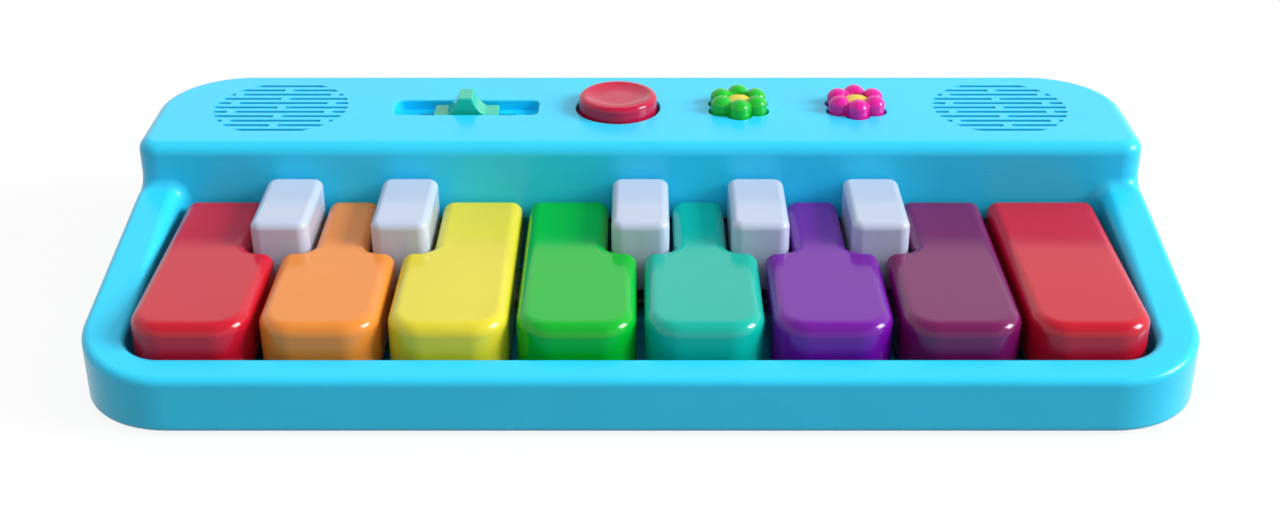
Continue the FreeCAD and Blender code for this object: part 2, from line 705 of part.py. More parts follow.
def csk_hole(x, y, z, top):
    slack = SCREW_FIT
    return turned([(0, z), (SCREW_HEAD_RADIUS + slack, z), (SCREW_RADIUS + slack, z + SCREW_HEAD_HEIGHT),
                   (SCREW_RADIUS + slack, top), (0, top)], x, y)


def pan_screw(x, y, seat, length):
    """Pan head screw whose head bears up against a seat at height seat."""
    face = seat - SCREW_HEAD_HEIGHT
    head = rod_z(x, y, face, seat, SCREW_HEAD_RADIUS)
    head = head.makeFillet(HEAD_ROUND, pick(head, lambda p: flat_at(p, face)))
    shank = rod_z(x, y, seat, seat + length, SCREW_RADIUS)
    slots = []
    for dx, dy in ((CROSS_REACH, CROSS_WIDTH / 2), (CROSS_WIDTH / 2, CROSS_REACH)):
        slots.append(box(x - dx, x + dx, y - dy, y + dy, face, face + CROSS_DEPTH))
    return cut(fuse([head, shank]), slots)


# Lower case
def comb_fins():
    """Fins beside every key lever, notched for the pivot rod."""
    y0 = Y_PIVOT - BOSS_RADIUS
    y1 = Y_PIVOT + BOSS_RADIUS
    top = Z_PIVOT + COMB_LIP
    reach = BOSS_WIDTH / 2 + COMB_GAP
    starts = [COMB_X0] + [x + reach for x in LEVERS]
    ends = [x - reach for x in LEVERS] + [COMB_X1]
    fins = [box(a, b, y0, y1, BASE_TOP - BASE_THICK / 2, top) for a, b in zip(starts, ends)]
    notch_radius = ROD_RADIUS + ROD_FIT
    x0 = ROD_X0 - COMB_GAP
    x1 = ROD_X1 + COMB_GAP
    notch = [rod_x(x0, x1, Y_PIVOT, Z_PIVOT, notch_radius),
             box(x0, x1, Y_PIVOT - notch_radius, Y_PIVOT + notch_radius, Z_PIVOT, ABOVE)]
    return [cut(fin, notch) for fin in fins]


def battery_box():
    outer = box(-BOX_HALF - BOX_WALL, BOX_HALF + BOX_WALL, Y_BOX, Y_BOX_BACK, DOOR_TOP, BOX_ROOF + BOX_WALL)
    inner = box(-BOX_HALF, BOX_HALF, Y_BOX + BOX_WALL, Y_BOX_BACK - BOX_WALL, DOOR_TOP, BOX_ROOF)
    return outer, inner


def door_plate(grow, z0, z1):
    x = DOOR_HALF + grow
    corner = DOOR_CORNER + grow
    return rounded_block(-x, x, Y_BOX - grow, Y_BOX_BACK + grow, z0, z1, corner, corner)


def lower_case():
    plate = case_plan(WALL + BASE_FIT, CASE_Z, BASE_TOP)
    outer, inner = battery_box()
    pads = []
    holes = []
    for side in (-1, 1):
        x = side * DOOR_SCREW_X
        reach = DOOR_EAR / 2 + DOOR_FIT
        pads.append(box(x - reach, x + reach, Y_BOX, Y_BOX_BACK, DOOR_TOP, BASE_TOP + EAR_PAD))
        top = DOOR_TOP + DOOR_SCREW_LENGTH + PILOT_SPARE
        pads.append(rod_z(x, Y_DOOR_SCREW, DOOR_TOP, top, SCREW_BOSS_RADIUS))
        holes.append(rod_z(x, Y_DOOR_SCREW, DOOR_TOP, top - PILOT_SPARE, SCREW_RADIUS + SCREW_FIT))
    for x in PIN_X:
        pads.append(rod_z(x, Y_DOME, BASE_TOP - BASE_THICK / 2, KEY_BOARD_Z, BOARD_PAD_RADIUS))
        pads.append(rod_z(x, Y_DOME, BASE_TOP - BASE_THICK / 2, KEY_SHEET_Z + PAD_SHEET, PIN_RADIUS))
    for x in (LEVERS[0], LEVERS[len(LEVERS) // 2], LEVERS[-1]):
        pads.append(rod_z(x, Y_DOME, BASE_TOP - BASE_THICK / 2, KEY_BOARD_Z, BOARD_PAD_RADIUS))
    for x, y in RIM_SCREWS + CONSOLE_SCREWS:
        holes.append(csk_hole(x, y, CASE_Z, BASE_TOP))
    for x, y in FEET:
        holes.append(rod_z(x, y, CASE_Z, CASE_Z + FOOT_SINK, FOOT_RADIUS))
    holes.append(door_plate(DOOR_FIT, CASE_Z, DOOR_TOP))
    base = fuse([plate, outer] + pads + comb_fins())
    return cut(base, [inner]).cut(Part.makeCompound(holes))


def battery_door():
    door = door_plate(0.0, CASE_Z, DOOR_TOP)
    return cut(door, [csk_hole(side * DOOR_SCREW_X, Y_DOOR_SCREW, CASE_Z, DOOR_TOP) for side in (-1, 1)])


# Keys
def natural_face(n, inset, z):
    """Plan of one natural: a wide head, and a neck beside each sharp."""
    left, right = natural_sides(n)
    neck_left, neck_right = neck_sides(n)
    front = NATURAL_FRONT_CORNER - inset
    back = NATURAL_BACK_CORNER - inset
    inner = NATURAL_INNER_CORNER + inset
    y0 = Y_KEY + inset
    y1 = Y_KEY_BACK - inset
    shoulder = Y_SHOULDER - inset
    corners = [(left + inset, y0, front), (right - inset, y0, front)]
    if neck_right < right:
        corners += [(right - inset, shoulder, back), (neck_right - inset, shoulder, inner)]
    corners += [(neck_right - inset, y1, back), (neck_left + inset, y1, back)]
    if neck_left > left:
        corners += [(neck_left + inset, shoulder, inner), (left + inset, shoulder, back)]
    return rounded_face(corners, z)


def with_lever(cap, x, roof):
    """Add the tail, the pivot boss and the contact plunger to a key cap."""
    half = TAIL_WIDTH / 2
    tail = box(x - half, x + half, Y_KEY_BACK - KEY_WALL, Y_PIVOT, TAIL_TOP - TAIL_THICK, TAIL_TOP)
    boss = rod_x(x - BOSS_WIDTH / 2, x + BOSS_WIDTH / 2, Y_PIVOT, Z_PIVOT, BOSS_RADIUS)
    bore = rod_x(x - BOSS_WIDTH, x + BOSS_WIDTH, Y_PIVOT, Z_PIVOT, ROD_RADIUS + ROD_FIT)
    foot = KEY_DOME_Z + DOME_GAP
    ribs = []
    for dx, dy in ((PLUNGER_WIDTH, PLUNGER_RIB), (PLUNGER_RIB, PLUNGER_WIDTH)):
        ribs.append(box(x - dx / 2, x + dx / 2, Y_DOME - dy / 2, Y_DOME + dy / 2, foot, roof))
    return fuse([cap, tail, boss] + ribs).cut(bore)


def natural_key(n):
    bottom = KEY_Z - NATURAL_DEPTH
    cap = natural_face(n, 0.0, bottom).extrude(Vector(0, 0, NATURAL_DEPTH))
    cap = cap.makeFillet(NATURAL_EDGE, pick(cap, lambda p: flat_at(p, KEY_Z)))
    cap = cap.makeFillet(NATURAL_FOOT_EDGE, pick(cap, lambda p: flat_at(p, bottom)))
    cap = cap.cut(natural_face(n, KEY_WALL, bottom).extrude(Vector(0, 0, NATURAL_DEPTH - KEY_WALL)))
    return with_lever(cap, natural_lever_x(n), KEY_Z - KEY_WALL / 2)


def sharp_key(n):
    x = boundary(n + 1)
    half = SHARP_WIDTH / 2
    bottom = KEY_Z - SHARP_SKIRT
    cap = rounded_block(x - half, x + half, Y_SHARP, Y_KEY_BACK, bottom, SHARP_Z, SHARP_CORNER, SHARP_CORNER)
    cap = cap.makeFillet(SHARP_EDGE, pick(cap, lambda p: flat_at(p, SHARP_Z)))
    corner = SHARP_CORNER - KEY_WALL
    inside = half - KEY_WALL
    cap = cap.cut(rounded_block(x - inside, x + inside, Y_SHARP + KEY_WALL, Y_KEY_BACK - KEY_WALL,
                                bottom, SHARP_Z - KEY_WALL, corner, corner))
    return with_lever(cap, x, SHARP_Z - KEY_WALL / 2)


def dome(x, y, z, base, top, height):
    return Part.makeCone(base / 2, top / 2, height, Vector(x, y, z))


def key_contacts():
    x0 = LEVERS[0] - KEY_BOARD_END
    x1 = LEVERS[-1] + KEY_BOARD_END
    y0 = Y_DOME - KEY_BOARD_WIDTH / 2
    y1 = Y_DOME + KEY_BOARD_WIDTH / 2
    board = box(x0, x1, y0, y1, KEY_BOARD_Z, KEY_SHEET_Z)
    sheet_z = KEY_SHEET_Z + PAD_SHEET
    strip = [box(x0, x1, y0, y1 - KEY_BOARD_LAND, KEY_SHEET_Z, sheet_z)]
    strip += [dome(x, Y_DOME, sheet_z, KEY_DOME_BASE, KEY_DOME_TOP, KEY_DOME_HEIGHT) for x in LEVERS]
    pins = [rod_z(x, Y_DOME, KEY_BOARD_Z, sheet_z, PIN_RADIUS + PIN_FIT) for x in PIN_X]
    return cut(board, pins), cut(fuse(strip), pins)


# Console controls
def red_button():
    top = PANEL_Z + BUTTON_RISE
    skirt = FLANGE_Z - FLANGE_THICK
    cap = fuse([rod_z(BUTTON_X, Y_ROW, skirt, top, BUTTON_RADIUS),
                rod_z(BUTTON_X, Y_ROW, skirt, FLANGE_Z, BUTTON_RADIUS + BUTTON_HOLE_GAP + FLANGE_LAP)])
    cap = cap.makeFillet(BUTTON_EDGE, pick(cap, lambda p: flat_at(p, top)))
    floor = top - BUTTON_DISH
    bowl = [Vector(BUTTON_X, Y_ROW, floor), Vector(BUTTON_X + BUTTON_DISH_FLAT, Y_ROW, floor),
            Vector(BUTTON_X + BUTTON_DISH_RADIUS, Y_ROW, top), Vector(BUTTON_X, Y_ROW, top)]
    sag = Vector((bowl[1].x + bowl[2].x) / 2, Y_ROW, top - BUTTON_DISH_SAG)
    outline = Part.Wire([Part.makeLine(bowl[0], bowl[1]), Part.Arc(bowl[1], sag, bowl[2]).toShape(),
                         Part.makeLine(bowl[2], bowl[3]), Part.makeLine(bowl[3], bowl[0])])
    dish = Part.Face(outline).revolve(Vector(BUTTON_X, Y_ROW, 0), Vector(0, 0, 1), 360)
    inside = rod_z(BUTTON_X, Y_ROW, skirt, floor - BUTTON_WALL, BUTTON_RADIUS - BUTTON_WALL)
    stem = rod_z(BUTTON_X, Y_ROW, STEM_Z, floor - BUTTON_WALL / 2, STEM_RADIUS)
    return fuse([cut(cap, [dish]).cut(inside), stem])


def cap_ball(radius, height):
    """Radius of the ball whose cap has this height over a circle of this radius."""
    return (radius ** 2 + height ** 2) / (2 * height)


def flower_button(x):
    """Six domed petals on a flange, bored for the centre insert."""
    shoulder = PANEL_Z + PETAL_SHOULDER
    top = PANEL_Z + PETAL_RISE
    skirt = FLANGE_Z - FLANGE_THICK
    ball = cap_ball(PETAL_RADIUS, PETAL_RISE - PETAL_SHOULDER)
    petals = flower_petals(PETAL_RADIUS, skirt, shoulder, x)
    domes = []
    for crown in flower_petals(PETAL_RADIUS, shoulder, top, x):
        middle = crown.CenterOfMass
        domes.append(crown.common(Part.makeSphere(ball, Vector(middle.x, middle.y, top - ball))))
    core = rod_z(x, Y_ROW, skirt, PANEL_Z + FLOWER_CORE_RISE, FLOWER_CORE)
    flange = rod_z(x, Y_ROW, skirt, FLANGE_Z, FLOWER_OUTER + FLOWER_HOLE_GAP + FLANGE_LAP)
    stem = rod_z(x, Y_ROW, STEM_Z, skirt + FLANGE_THICK / 2, STEM_RADIUS)
    plug_z = PANEL_Z + CENTRE_RISE - CENTRE_DOME - CENTRE_PLUG
    bore = rod_z(x, Y_ROW, plug_z, top, CENTRE_RADIUS + CENTRE_FIT)
    return fuse(petals + domes + [core, flange, stem]).cut(bore)


def flower_centre(x):
    """Domed insert pressed into the middle of a flower."""
    plug_z = PANEL_Z + CENTRE_RISE - CENTRE_DOME - CENTRE_PLUG
    plug = rod_z(x, Y_ROW, plug_z, PANEL_Z + CENTRE_RISE, CENTRE_RADIUS)
    ball = cap_ball(CENTRE_RADIUS, CENTRE_DOME)
    return plug.common(Part.makeSphere(ball, Vector(x, Y_ROW, PANEL_Z + CENTRE_RISE - ball)))


def slider_knob():
    """Knob with a ridge and hollow flanks, its stem reaching down to the switch lever."""
    base = SLOT_Z + KNOB_FLOOR_GAP
    step = PANEL_Z - KNOB_DROP
    top = PANEL_Z + KNOB_RISE
    half = KNOB_LENGTH / 2
    ridge = KNOB_RIDGE / 2
    y0 = Y_ROW - SLOT_WIDTH / 2 + KNOB_SIDE_GAP
    depth = SLOT_WIDTH - 2 * KNOB_SIDE_GAP

    def at(dx, z):
        return Vector(SLIDER_X + dx, y0, z)

    foot = ridge + KNOB_FLANK
    hollow_x = ridge + KNOB_HOLLOW_IN
    hollow_z = step + KNOB_HOLLOW_UP
    edges = [Part.makeLine(at(-half, base), at(half, base)), Part.makeLine(at(half, base), at(half, step)),
             Part.makeLine(at(half, step), at(foot, step)),
             Part.Arc(at(foot, step), at(hollow_x, hollow_z), at(ridge, top)).toShape(),
             Part.makeLine(at(ridge, top), at(-ridge, top)),
             Part.Arc(at(-ridge, top), at(-hollow_x, hollow_z), at(-foot, step)).toShape(),
             Part.makeLine(at(-foot, step), at(-half, step)), Part.makeLine(at(-half, step), at(-half, base))]
    knob = Part.Face(Part.Wire(edges)).extrude(Vector(0, depth, 0))
    knob = knob.makeFillet(KNOB_EDGE, pick(knob, lambda p: not flat_at(p, base)))
    stem_y = SLIT_WIDTH / 2 - KNOB_STEM_FIT
    stem_x = KNOB_STEM_LENGTH / 2
    stem_z = SWITCH_TOP + STEM_TO_SWITCH
    stem = box(SLIDER_X - stem_x, SLIDER_X + stem_x, Y_ROW - stem_y, Y_ROW + stem_y,
               stem_z, base + KNOB_FLOOR_GAP)
    socket_x = LEVER_LENGTH / 2 + LEVER_FIT
    socket_y = LEVER_THICK / 2 + LEVER_FIT
    socket = box(SLIDER_X - socket_x, SLIDER_X + socket_x, Y_ROW - socket_y, Y_ROW + socket_y,
                 stem_z, stem_z + LEVER_REACH)
    return fuse([knob, stem]).cut(socket)


def slide_switch():
    reach = KNOB_TRAVEL + LEVER_LENGTH / 2 + LEVER_FIT
    half = reach + SWITCH_END
    side = SWITCH_WIDTH / 2
    body = box(SLIDER_X - half, SLIDER_X + half, Y_ROW - side, Y_ROW + side, BOARD_Z, SWITCH_TOP)
    groove_y = LEVER_THICK / 2 + LEVER_FIT
    floor = BOARD_Z + LEVER_FOOT
    groove = box(SLIDER_X - reach, SLIDER_X + reach, Y_ROW - groove_y, Y_ROW + groove_y, floor, SWITCH_TOP)
    lever_x = LEVER_LENGTH / 2
    lever_y = LEVER_THICK / 2
    lever_top = SWITCH_TOP + STEM_TO_SWITCH + LEVER_REACH - LEVER_FIT
    lever = box(SLIDER_X - lever_x, SLIDER_X + lever_x, Y_ROW - lever_y, Y_ROW + lever_y,
                floor + LEVER_FIT, lever_top)
    return body.cut(groove), lever


# Control board
def control_board():
    x0 = SLIDER_X - SLOT_LENGTH / 2
    x1 = PINK_X + FLOWER_OUTER
    board = rounded_block(x0, x1, Y_ROW - BOARD_HALF_WIDTH, Y_ROW + BOARD_HALF_WIDTH,
                          BOARD_Z - BOARD_THICK, BOARD_Z, BOARD_POST_RADIUS, BOARD_POST_RADIUS)
    holes = [rod_z(x, y, BOARD_Z - BOARD_THICK, BOARD_Z, SCREW_RADIUS + SCREW_FIT) for x, y in BOARD_POSTS]
    return cut(board, holes)


def button_pad():
    """One silicone sheet with a dome under each push button."""
    places = (BUTTON_X, GREEN_X, PINK_X)
    half = BUTTON_PAD_STRAP / 2
    parts = [box(BUTTON_X, PINK_X, Y_ROW - half, Y_ROW + half, BOARD_Z, BUTTON_SHEET_Z)]
    for x in places:
        parts.append(rod_z(x, Y_ROW, BOARD_Z, BUTTON_SHEET_Z, BUTTON_PAD_RADIUS))
        parts.append(dome(x, Y_ROW, BUTTON_SHEET_Z, BUTTON_DOME_BASE, BUTTON_DOME_TOP, BUTTON_DOME_HEIGHT))
    return fuse(parts)


def sound_chip():
    z = BOARD_Z - BOARD_THICK
    ball = (CHIP_RADIUS ** 2 + CHIP_HEIGHT ** 2) / (2 * CHIP_HEIGHT)
    slab = rod_z(BUTTON_X, Y_ROW, z - CHIP_HEIGHT, z, CHIP_RADIUS)
    return slab.common(Part.makeSphere(ball, Vector(BUTTON_X, Y_ROW, z - CHIP_HEIGHT + ball)))


# Loudspeakers
def speaker(x):
    top = PANEL_UNDER
    flange = top - SPEAKER_FLANGE
    floor = top - SPEAKER_DEPTH
    inner = SPEAKER_CONE_RADIUS
    neck = SPEAKER_NECK_RADIUS
    sheet = SPEAKER_SHEET
    frame = turned([(inner, top), (SPEAKER_RADIUS, top), (SPEAKER_RADIUS, flange), (inner + sheet, flange),
                    (neck + sheet, floor - sheet), (0, floor - sheet), (0, floor), (neck, floor),
                    (inner, flange + sheet)], x, Y_ROW)
    magnet = rod_z(x, Y_ROW, floor - sheet - MAGNET_HEIGHT, floor - sheet, MAGNET_RADIUS)
    magnet = magnet.makeChamfer(sheet / 2, pick(magnet, lambda p: flat_at(p, floor - sheet - MAGNET_HEIGHT)))
    rim = inner - SPEAKER_FIT
    lip = top - CONE_DROP
    pit = floor + CONE_SHEET
    cone = turned([(rim, lip), (rim, lip - CONE_SHEET), (neck / 2, pit), (0, pit), (0, pit + 2 * CONE_SHEET),
                   (neck / 2, pit + CONE_SHEET)], x, Y_ROW)
    return frame, magnet, cone


# Batteries
def battery_cells():
    cells = []
    for y in CELL_Y:
        body = rod_x(-CELL_LENGTH / 2, CELL_LENGTH / 2 - CELL_NUB_LENGTH, y, CELL_Z, CELL_DIAMETER / 2)
        nub = rod_x(CELL_LENGTH / 2 - CELL_NUB_LENGTH, CELL_LENGTH / 2, y, CELL_Z, CELL_NUB_RADIUS)
        cells.append(fuse([body, nub]))
    return Part.makeCompound(cells)


def battery_contacts():
    pieces = []
    half = CONTACT_SIZE / 2
    for y in CELL_Y:
        for side in (-1, 1):
            wall = side * BOX_HALF
            plate = sorted((wall, wall - side * CONTACT_THICK))
            tip = sorted((wall - side * CONTACT_THICK, side * (CELL_LENGTH / 2 + CONTACT_TIP_GAP)))
            pieces.append(fuse([box(plate[0], plate[1], y - half, y + half, CELL_Z - half, CELL_Z + half),
                                rod_x(tip[0], tip[1], y, CELL_Z, CONTACT_TIP_RADIUS)]))
    return Part.makeCompound(pieces)


# Wiring
def path_wire(points):
    """Straight runs joined by tangent arcs."""
    runs = [Vector(*p) for p in points]
    edges = []
    start = runs[0]
    for n in range(1, len(runs) - 1):
        before = runs[n - 1] - runs[n]
        after = runs[n + 1] - runs[n]
        before.normalize()
        after.normalize()
        half = before.getAngle(after) / 2
        reach = WIRE_BEND / math.tan(half)
        middle = before + after
        middle.normalize()
        crown = runs[n] + middle * (WIRE_BEND / math.sin(half) - WIRE_BEND)
        edges.append(Part.makeLine(start, runs[n] + before * reach))
        edges.append(Part.Arc(runs[n] + before * reach, crown, runs[n] + after * reach).toShape())
        start = runs[n] + after * reach
    edges.append(Part.makeLine(start, runs[-1]))
    return Part.Wire(edges)


def round_wire(points):
    start = Vector(*points[0])
    ring = Part.Wire([Part.makeCircle(WIRE_RADIUS, start, Vector(*points[1]) - start)])
    return path_wire(points).makePipeShell([ring], True, False)


def speaker_wires(side):
    """Two wires from the side of one loudspeaker to its end of the control board."""
    board_x = SLIDER_X - SLOT_LENGTH / 2 if side < 0 else PINK_X + FLOWER_OUTER
    end_x = board_x - side * 2 * WIRE_BEND
    z = BOARD_Z + 2 * WIRE_BEND
    slope = (SPEAKER_CONE_RADIUS - SPEAKER_NECK_RADIUS) / (SPEAKER_DEPTH - SPEAKER_FLANGE + SPEAKER_SHEET)
    basket_floor = PANEL_UNDER - SPEAKER_DEPTH - SPEAKER_SHEET
    basket = SPEAKER_NECK_RADIUS + SPEAKER_SHEET + (z + WIRE_RADIUS - basket_floor) * slope + WIRE_GAP
    wires = []
    for n in (-1, 1):
        y = WIRE_SIDE + n * WIRE_SPACING / 2
        start_x = side * (GRILLE_X - math.sqrt(basket ** 2 - (y - WIRE_RADIUS) ** 2))
        row_y = Y_ROW + y
        wires.append(round_wire([(start_x, row_y, z), (end_x, row_y, z), (end_x, row_y, BOARD_Z)]))
    return Part.makeCompound(wires)


def battery_wires():
    """Two wires from the roof of the battery box up to the control board."""
    roof = BOX_ROOF + BOX_WALL
    board = BOARD_Z - BOARD_THICK
    z = (roof + board) / 2
    wires = []
    x0 = BOX_HALF - CONTACT_SIZE
    x1 = x0 - 4 * WIRE_BEND
    for y in CELL_Y:
        wires.append(round_wire([(x0, y, roof), (x0, y, z), (x1, y, z), (x1, y, board)]))
    return Part.makeCompound(wires)


def key_ribbon():
    """Flat ribbon from the key board, under a key boss and up to the control board."""
    x = LEVERS[len(LEVERS) // 2]
    z = KEY_SHEET_Z + RIBBON_THICK / 2
    y0 = Y_DOME + KEY_BOARD_WIDTH / 2 - KEY_BOARD_LAND / 2
    y1 = Y_BOX - BOX_SETBACK / 2
    board = BOARD_Z - BOARD_THICK
    turn = (BOX_ROOF + BOX_WALL + board) / 2
    y2 = y1 + RIBBON_RUN
    half = RIBBON_WIDTH / 2
    low = z - RIBBON_THICK / 2
    high = z + RIBBON_THICK / 2
    corners = [Vector(x - half, y0, low), Vector(x + half, y0, low), Vector(x + half, y0, high),
               Vector(x - half, y0, high)]
    section = Part.makePolygon(corners + corners[:1])
    path = path_wire([(x, y0, z), (x, y1, z), (x, y1, turn), (x, y2, turn), (x, y2, board)])
    return path.makePipeShell([section], True, False)


def rubber_feet():
    feet = []
    for x, y in FEET:
        foot = rod_z(x, y, 0, CASE_Z + FOOT_SINK, FOOT_RADIUS)
        feet.append(foot.makeFillet(FOOT_EDGE, pick(foot, lambda p: flat_at(p, 0))))
    return Part.makeCompound(feet)


save("upper_case", upper_case())
save("lower_case", lower_case())
save("battery_door", battery_door())
save("rubber_feet", rubber_feet())
save("key_pivot_rod", rod_x(ROD_X0, ROD_X1, Y_PIVOT, Z_PIVOT, ROD_RADIUS))
for number, name in enumerate(NATURAL_NAMES):
    save(name, natural_key(number))
for number, name in SHARP_NAMES.items():
    save(name, sharp_key(number))
contact_board, dome_strip = key_contacts()
save("key_contact_board", contact_board)
save("key_dome_strip", dome_strip)
save("red_button", red_button())
save("green_flower_button", flower_button(GREEN_X))
save("green_flower_centre", flower_centre(GREEN_X))
save("pink_flower_button", flower_button(PINK_X))
save("pink_flower_centre", flower_centre(PINK_X))
save("slider_knob", slider_knob())
switch_body, switch_lever = slide_switch()
save("slide_switch_body", switch_body)
save("slide_switch_lever", switch_lever)
save("control_board", control_board())
save("button_dome_pad", button_pad())
save("sound_chip", sound_chip())
for side, word in ((-1, "left"), (1, "right")):
    frame, magnet, cone = speaker(side * GRILLE_X)
    save("speaker_%s_frame" % word, frame)
    save("speaker_%s_magnet" % word, magnet)
    save("speaker_%s_cone" % word, cone)
save("battery_cells", battery_cells())
save("battery_contacts", battery_contacts())
case_screws = [csk_screw(x, y, CASE_Z, SCREW_LENGTH) for x, y in RIM_SCREWS + CONSOLE_SCREWS]
save("case_screws", Part.makeCompound(case_screws))
door_screws = [csk_screw(side * DOOR_SCREW_X, Y_DOOR_SCREW, CASE_Z, DOOR_SCREW_LENGTH) for side in (-1, 1)]
save("battery_door_screws", Part.makeCompound(door_screws))
board_screws = [pan_screw(x, y, BOARD_Z - BOARD_THICK, SCREW_LENGTH - BOARD_THICK) for x, y in BOARD_POSTS]
save("control_board_screws", Part.makeCompound(board_screws))
speaker_places = speaker_screw_places(-GRILLE_X) + speaker_screw_places(GRILLE_X)
flange_z = PANEL_UNDER - SPEAKER_FLANGE
speaker_screws = [pan_screw(x, y, flange_z, SPEAKER_SCREW_LENGTH) for x, y in speaker_places]
save("speaker_screws", Part.makeCompound(speaker_screws))
save("speaker_left_wires", speaker_wires(-1))
save("speaker_right_wires", speaker_wires(1))
save("battery_wires", battery_wires())
save("key_ribbon", key_ribbon())
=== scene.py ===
import json
import math
from collections import namedtuple

import bpy
from bpy.props import FloatProperty, FloatVectorProperty, IntProperty, PointerProperty
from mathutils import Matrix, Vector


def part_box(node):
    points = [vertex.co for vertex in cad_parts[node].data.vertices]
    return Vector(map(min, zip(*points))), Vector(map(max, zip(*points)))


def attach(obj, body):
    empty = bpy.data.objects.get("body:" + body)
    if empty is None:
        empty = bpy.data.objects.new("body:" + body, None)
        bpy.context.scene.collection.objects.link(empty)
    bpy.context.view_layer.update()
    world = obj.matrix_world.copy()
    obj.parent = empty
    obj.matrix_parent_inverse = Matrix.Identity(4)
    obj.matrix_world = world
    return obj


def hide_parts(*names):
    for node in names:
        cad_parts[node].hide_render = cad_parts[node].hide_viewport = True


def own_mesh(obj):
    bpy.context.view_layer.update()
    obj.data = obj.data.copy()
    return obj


bl_info = {
    "name": "Toy Piano Looks",
    "version": (1, 0, 0),
    "blender": (4, 5, 0),
    "location": "View3D > Sidebar > Toy Piano",
    "description": "Finishes, flower buttons, silicone domes and studio for a toy piano",
    "category": "Object",
}

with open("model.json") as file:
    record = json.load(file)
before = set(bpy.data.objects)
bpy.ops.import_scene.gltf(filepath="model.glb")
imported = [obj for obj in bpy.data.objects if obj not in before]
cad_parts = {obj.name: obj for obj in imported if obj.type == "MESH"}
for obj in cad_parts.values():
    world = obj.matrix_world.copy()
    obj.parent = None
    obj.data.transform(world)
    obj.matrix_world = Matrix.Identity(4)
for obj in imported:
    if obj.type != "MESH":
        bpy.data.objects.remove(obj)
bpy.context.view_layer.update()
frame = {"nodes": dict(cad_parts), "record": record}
NODES = frame["nodes"]
SLOT_OF = {part["node"]: part["material_slot"] for part in frame["record"]["subparts"]}

WHITE = (1.0, 1.0, 1.0, 1.0)
WHOLE = (0.0, 1.0)

# Most values of a noise lie in this span
NOISE_SPAN = (0.3, 0.7)

# Polished skin, with sizes per metre, and turns and tilt in radians
CLOUD_SIZE = 38.0
CLOUD_TINT = (0.975, 1.025)
CLOUD_HAZE = (-0.02, 0.03)
PATCH_SIZE = 22.0
PATCH_SPAN = (0.48, 0.68)
HAIR_TURNS = (0.5, 1.9, 2.7)
HAIR_TILT = (0.2, 0.3)
HAIR_STRETCH = (45.0, 2600.0, 2600.0)
HAIR_SPAN = (0.66, 0.72)
HAIR_ROUGHNESS = 0.25
HAIR_DEPTH = 0.3

# Grained skin, with the size of the colour's drift per metre
DRIFT_SIZE = 55.0
PIT_SHADE = (0.94, 1.05)
PIT_ROUGHNESS = (-0.06, 0.06)

# Grained finishes by material slot, with pits per metre as size and metres as depth
Grain = namedtuple("Grain", "shade roughness size drift depth metallic", defaults=(0.0,))
GRAINS = {
    "foot_rubber": Grain((0.03, 0.03, 0.032), 0.75, 3200.0, 0.15, 0.00003),
    "circuit_board": Grain((0.02, 0.16, 0.05), 0.35, 700.0, 0.2, 0.00001),
    "chip_epoxy": Grain((0.012, 0.012, 0.012), 0.18, 400.0, 0.1, 0.00001),
    "switch_metal": Grain((0.58, 0.58, 0.56), 0.35, 1500.0, 0.06, 0.000004, 1.0),
    "switch_lever": Grain((0.03, 0.03, 0.03), 0.5, 2500.0, 0.1, 0.00001),
    "silicone": Grain((0.55, 0.56, 0.55), 0.55, 1800.0, 0.04, 0.00001),
    "speaker_frame": Grain((0.32, 0.33, 0.34), 0.4, 1600.0, 0.08, 0.00001, 1.0),
    "speaker_magnet": Grain((0.05, 0.05, 0.055), 0.7, 2600.0, 0.2, 0.00003),
    "speaker_cone": Grain((0.018, 0.018, 0.02), 0.6, 1900.0, 0.2, 0.00003),
    "cell_jacket": Grain((0.02, 0.02, 0.022), 0.3, 900.0, 0.1, 0.000004, 0.6),
    "contact_metal": Grain((0.64, 0.62, 0.58), 0.28, 1500.0, 0.06, 0.000004, 1.0),
    "wire_red": Grain((0.42, 0.012, 0.012), 0.45, 1500.0, 0.06, 0.00001),
    "ribbon_grey": Grain((0.42, 0.42, 0.44), 0.45, 1200.0, 0.1, 0.00001),
    "steel": Grain((0.56, 0.56, 0.57), 0.3, 1400.0, 0.08, 0.000005, 1.0),
}

# How finely round shapes start
DISC_SIDES = 96
BALL_SEGMENTS = 64
BALL_RINGS = 32


# Kinds of setting
def colour(label, note, default):
    return FloatVectorProperty(name=label, description=note, default=default, subtype="COLOR", size=3,
                               min=0.0, max=1.0)


def spot(label, note, default):
    return FloatVectorProperty(name=label, description=note, default=default, subtype="TRANSLATION",
                               unit="LENGTH", size=3)


def length(label, note, default):
    return FloatProperty(name=label, description=note, default=default, subtype="DISTANCE",
                         unit="LENGTH", min=0.0, precision=5)


def share(label, note, default):
    return FloatProperty(name=label, description=note, default=default, subtype="FACTOR", min=0.0, max=1.0)


def amount(label, note, default):
    return FloatProperty(name=label, description=note, default=default, min=0.0)


def watts(label, note, default):
    return FloatProperty(name=label, description=note, default=default, unit="POWER", min=0.0)


def millimetres(label, note, default):
    return FloatProperty(name=label, description=note, default=default, unit="CAMERA", min=1.0)


def angle(label, note, degrees):
    return FloatProperty(name=label, description=note, default=math.radians(degrees), subtype="ANGLE",
                         unit="ROTATION")


def count(label, note, least, default):
    return IntProperty(name=label, description=note, default=default, min=least)


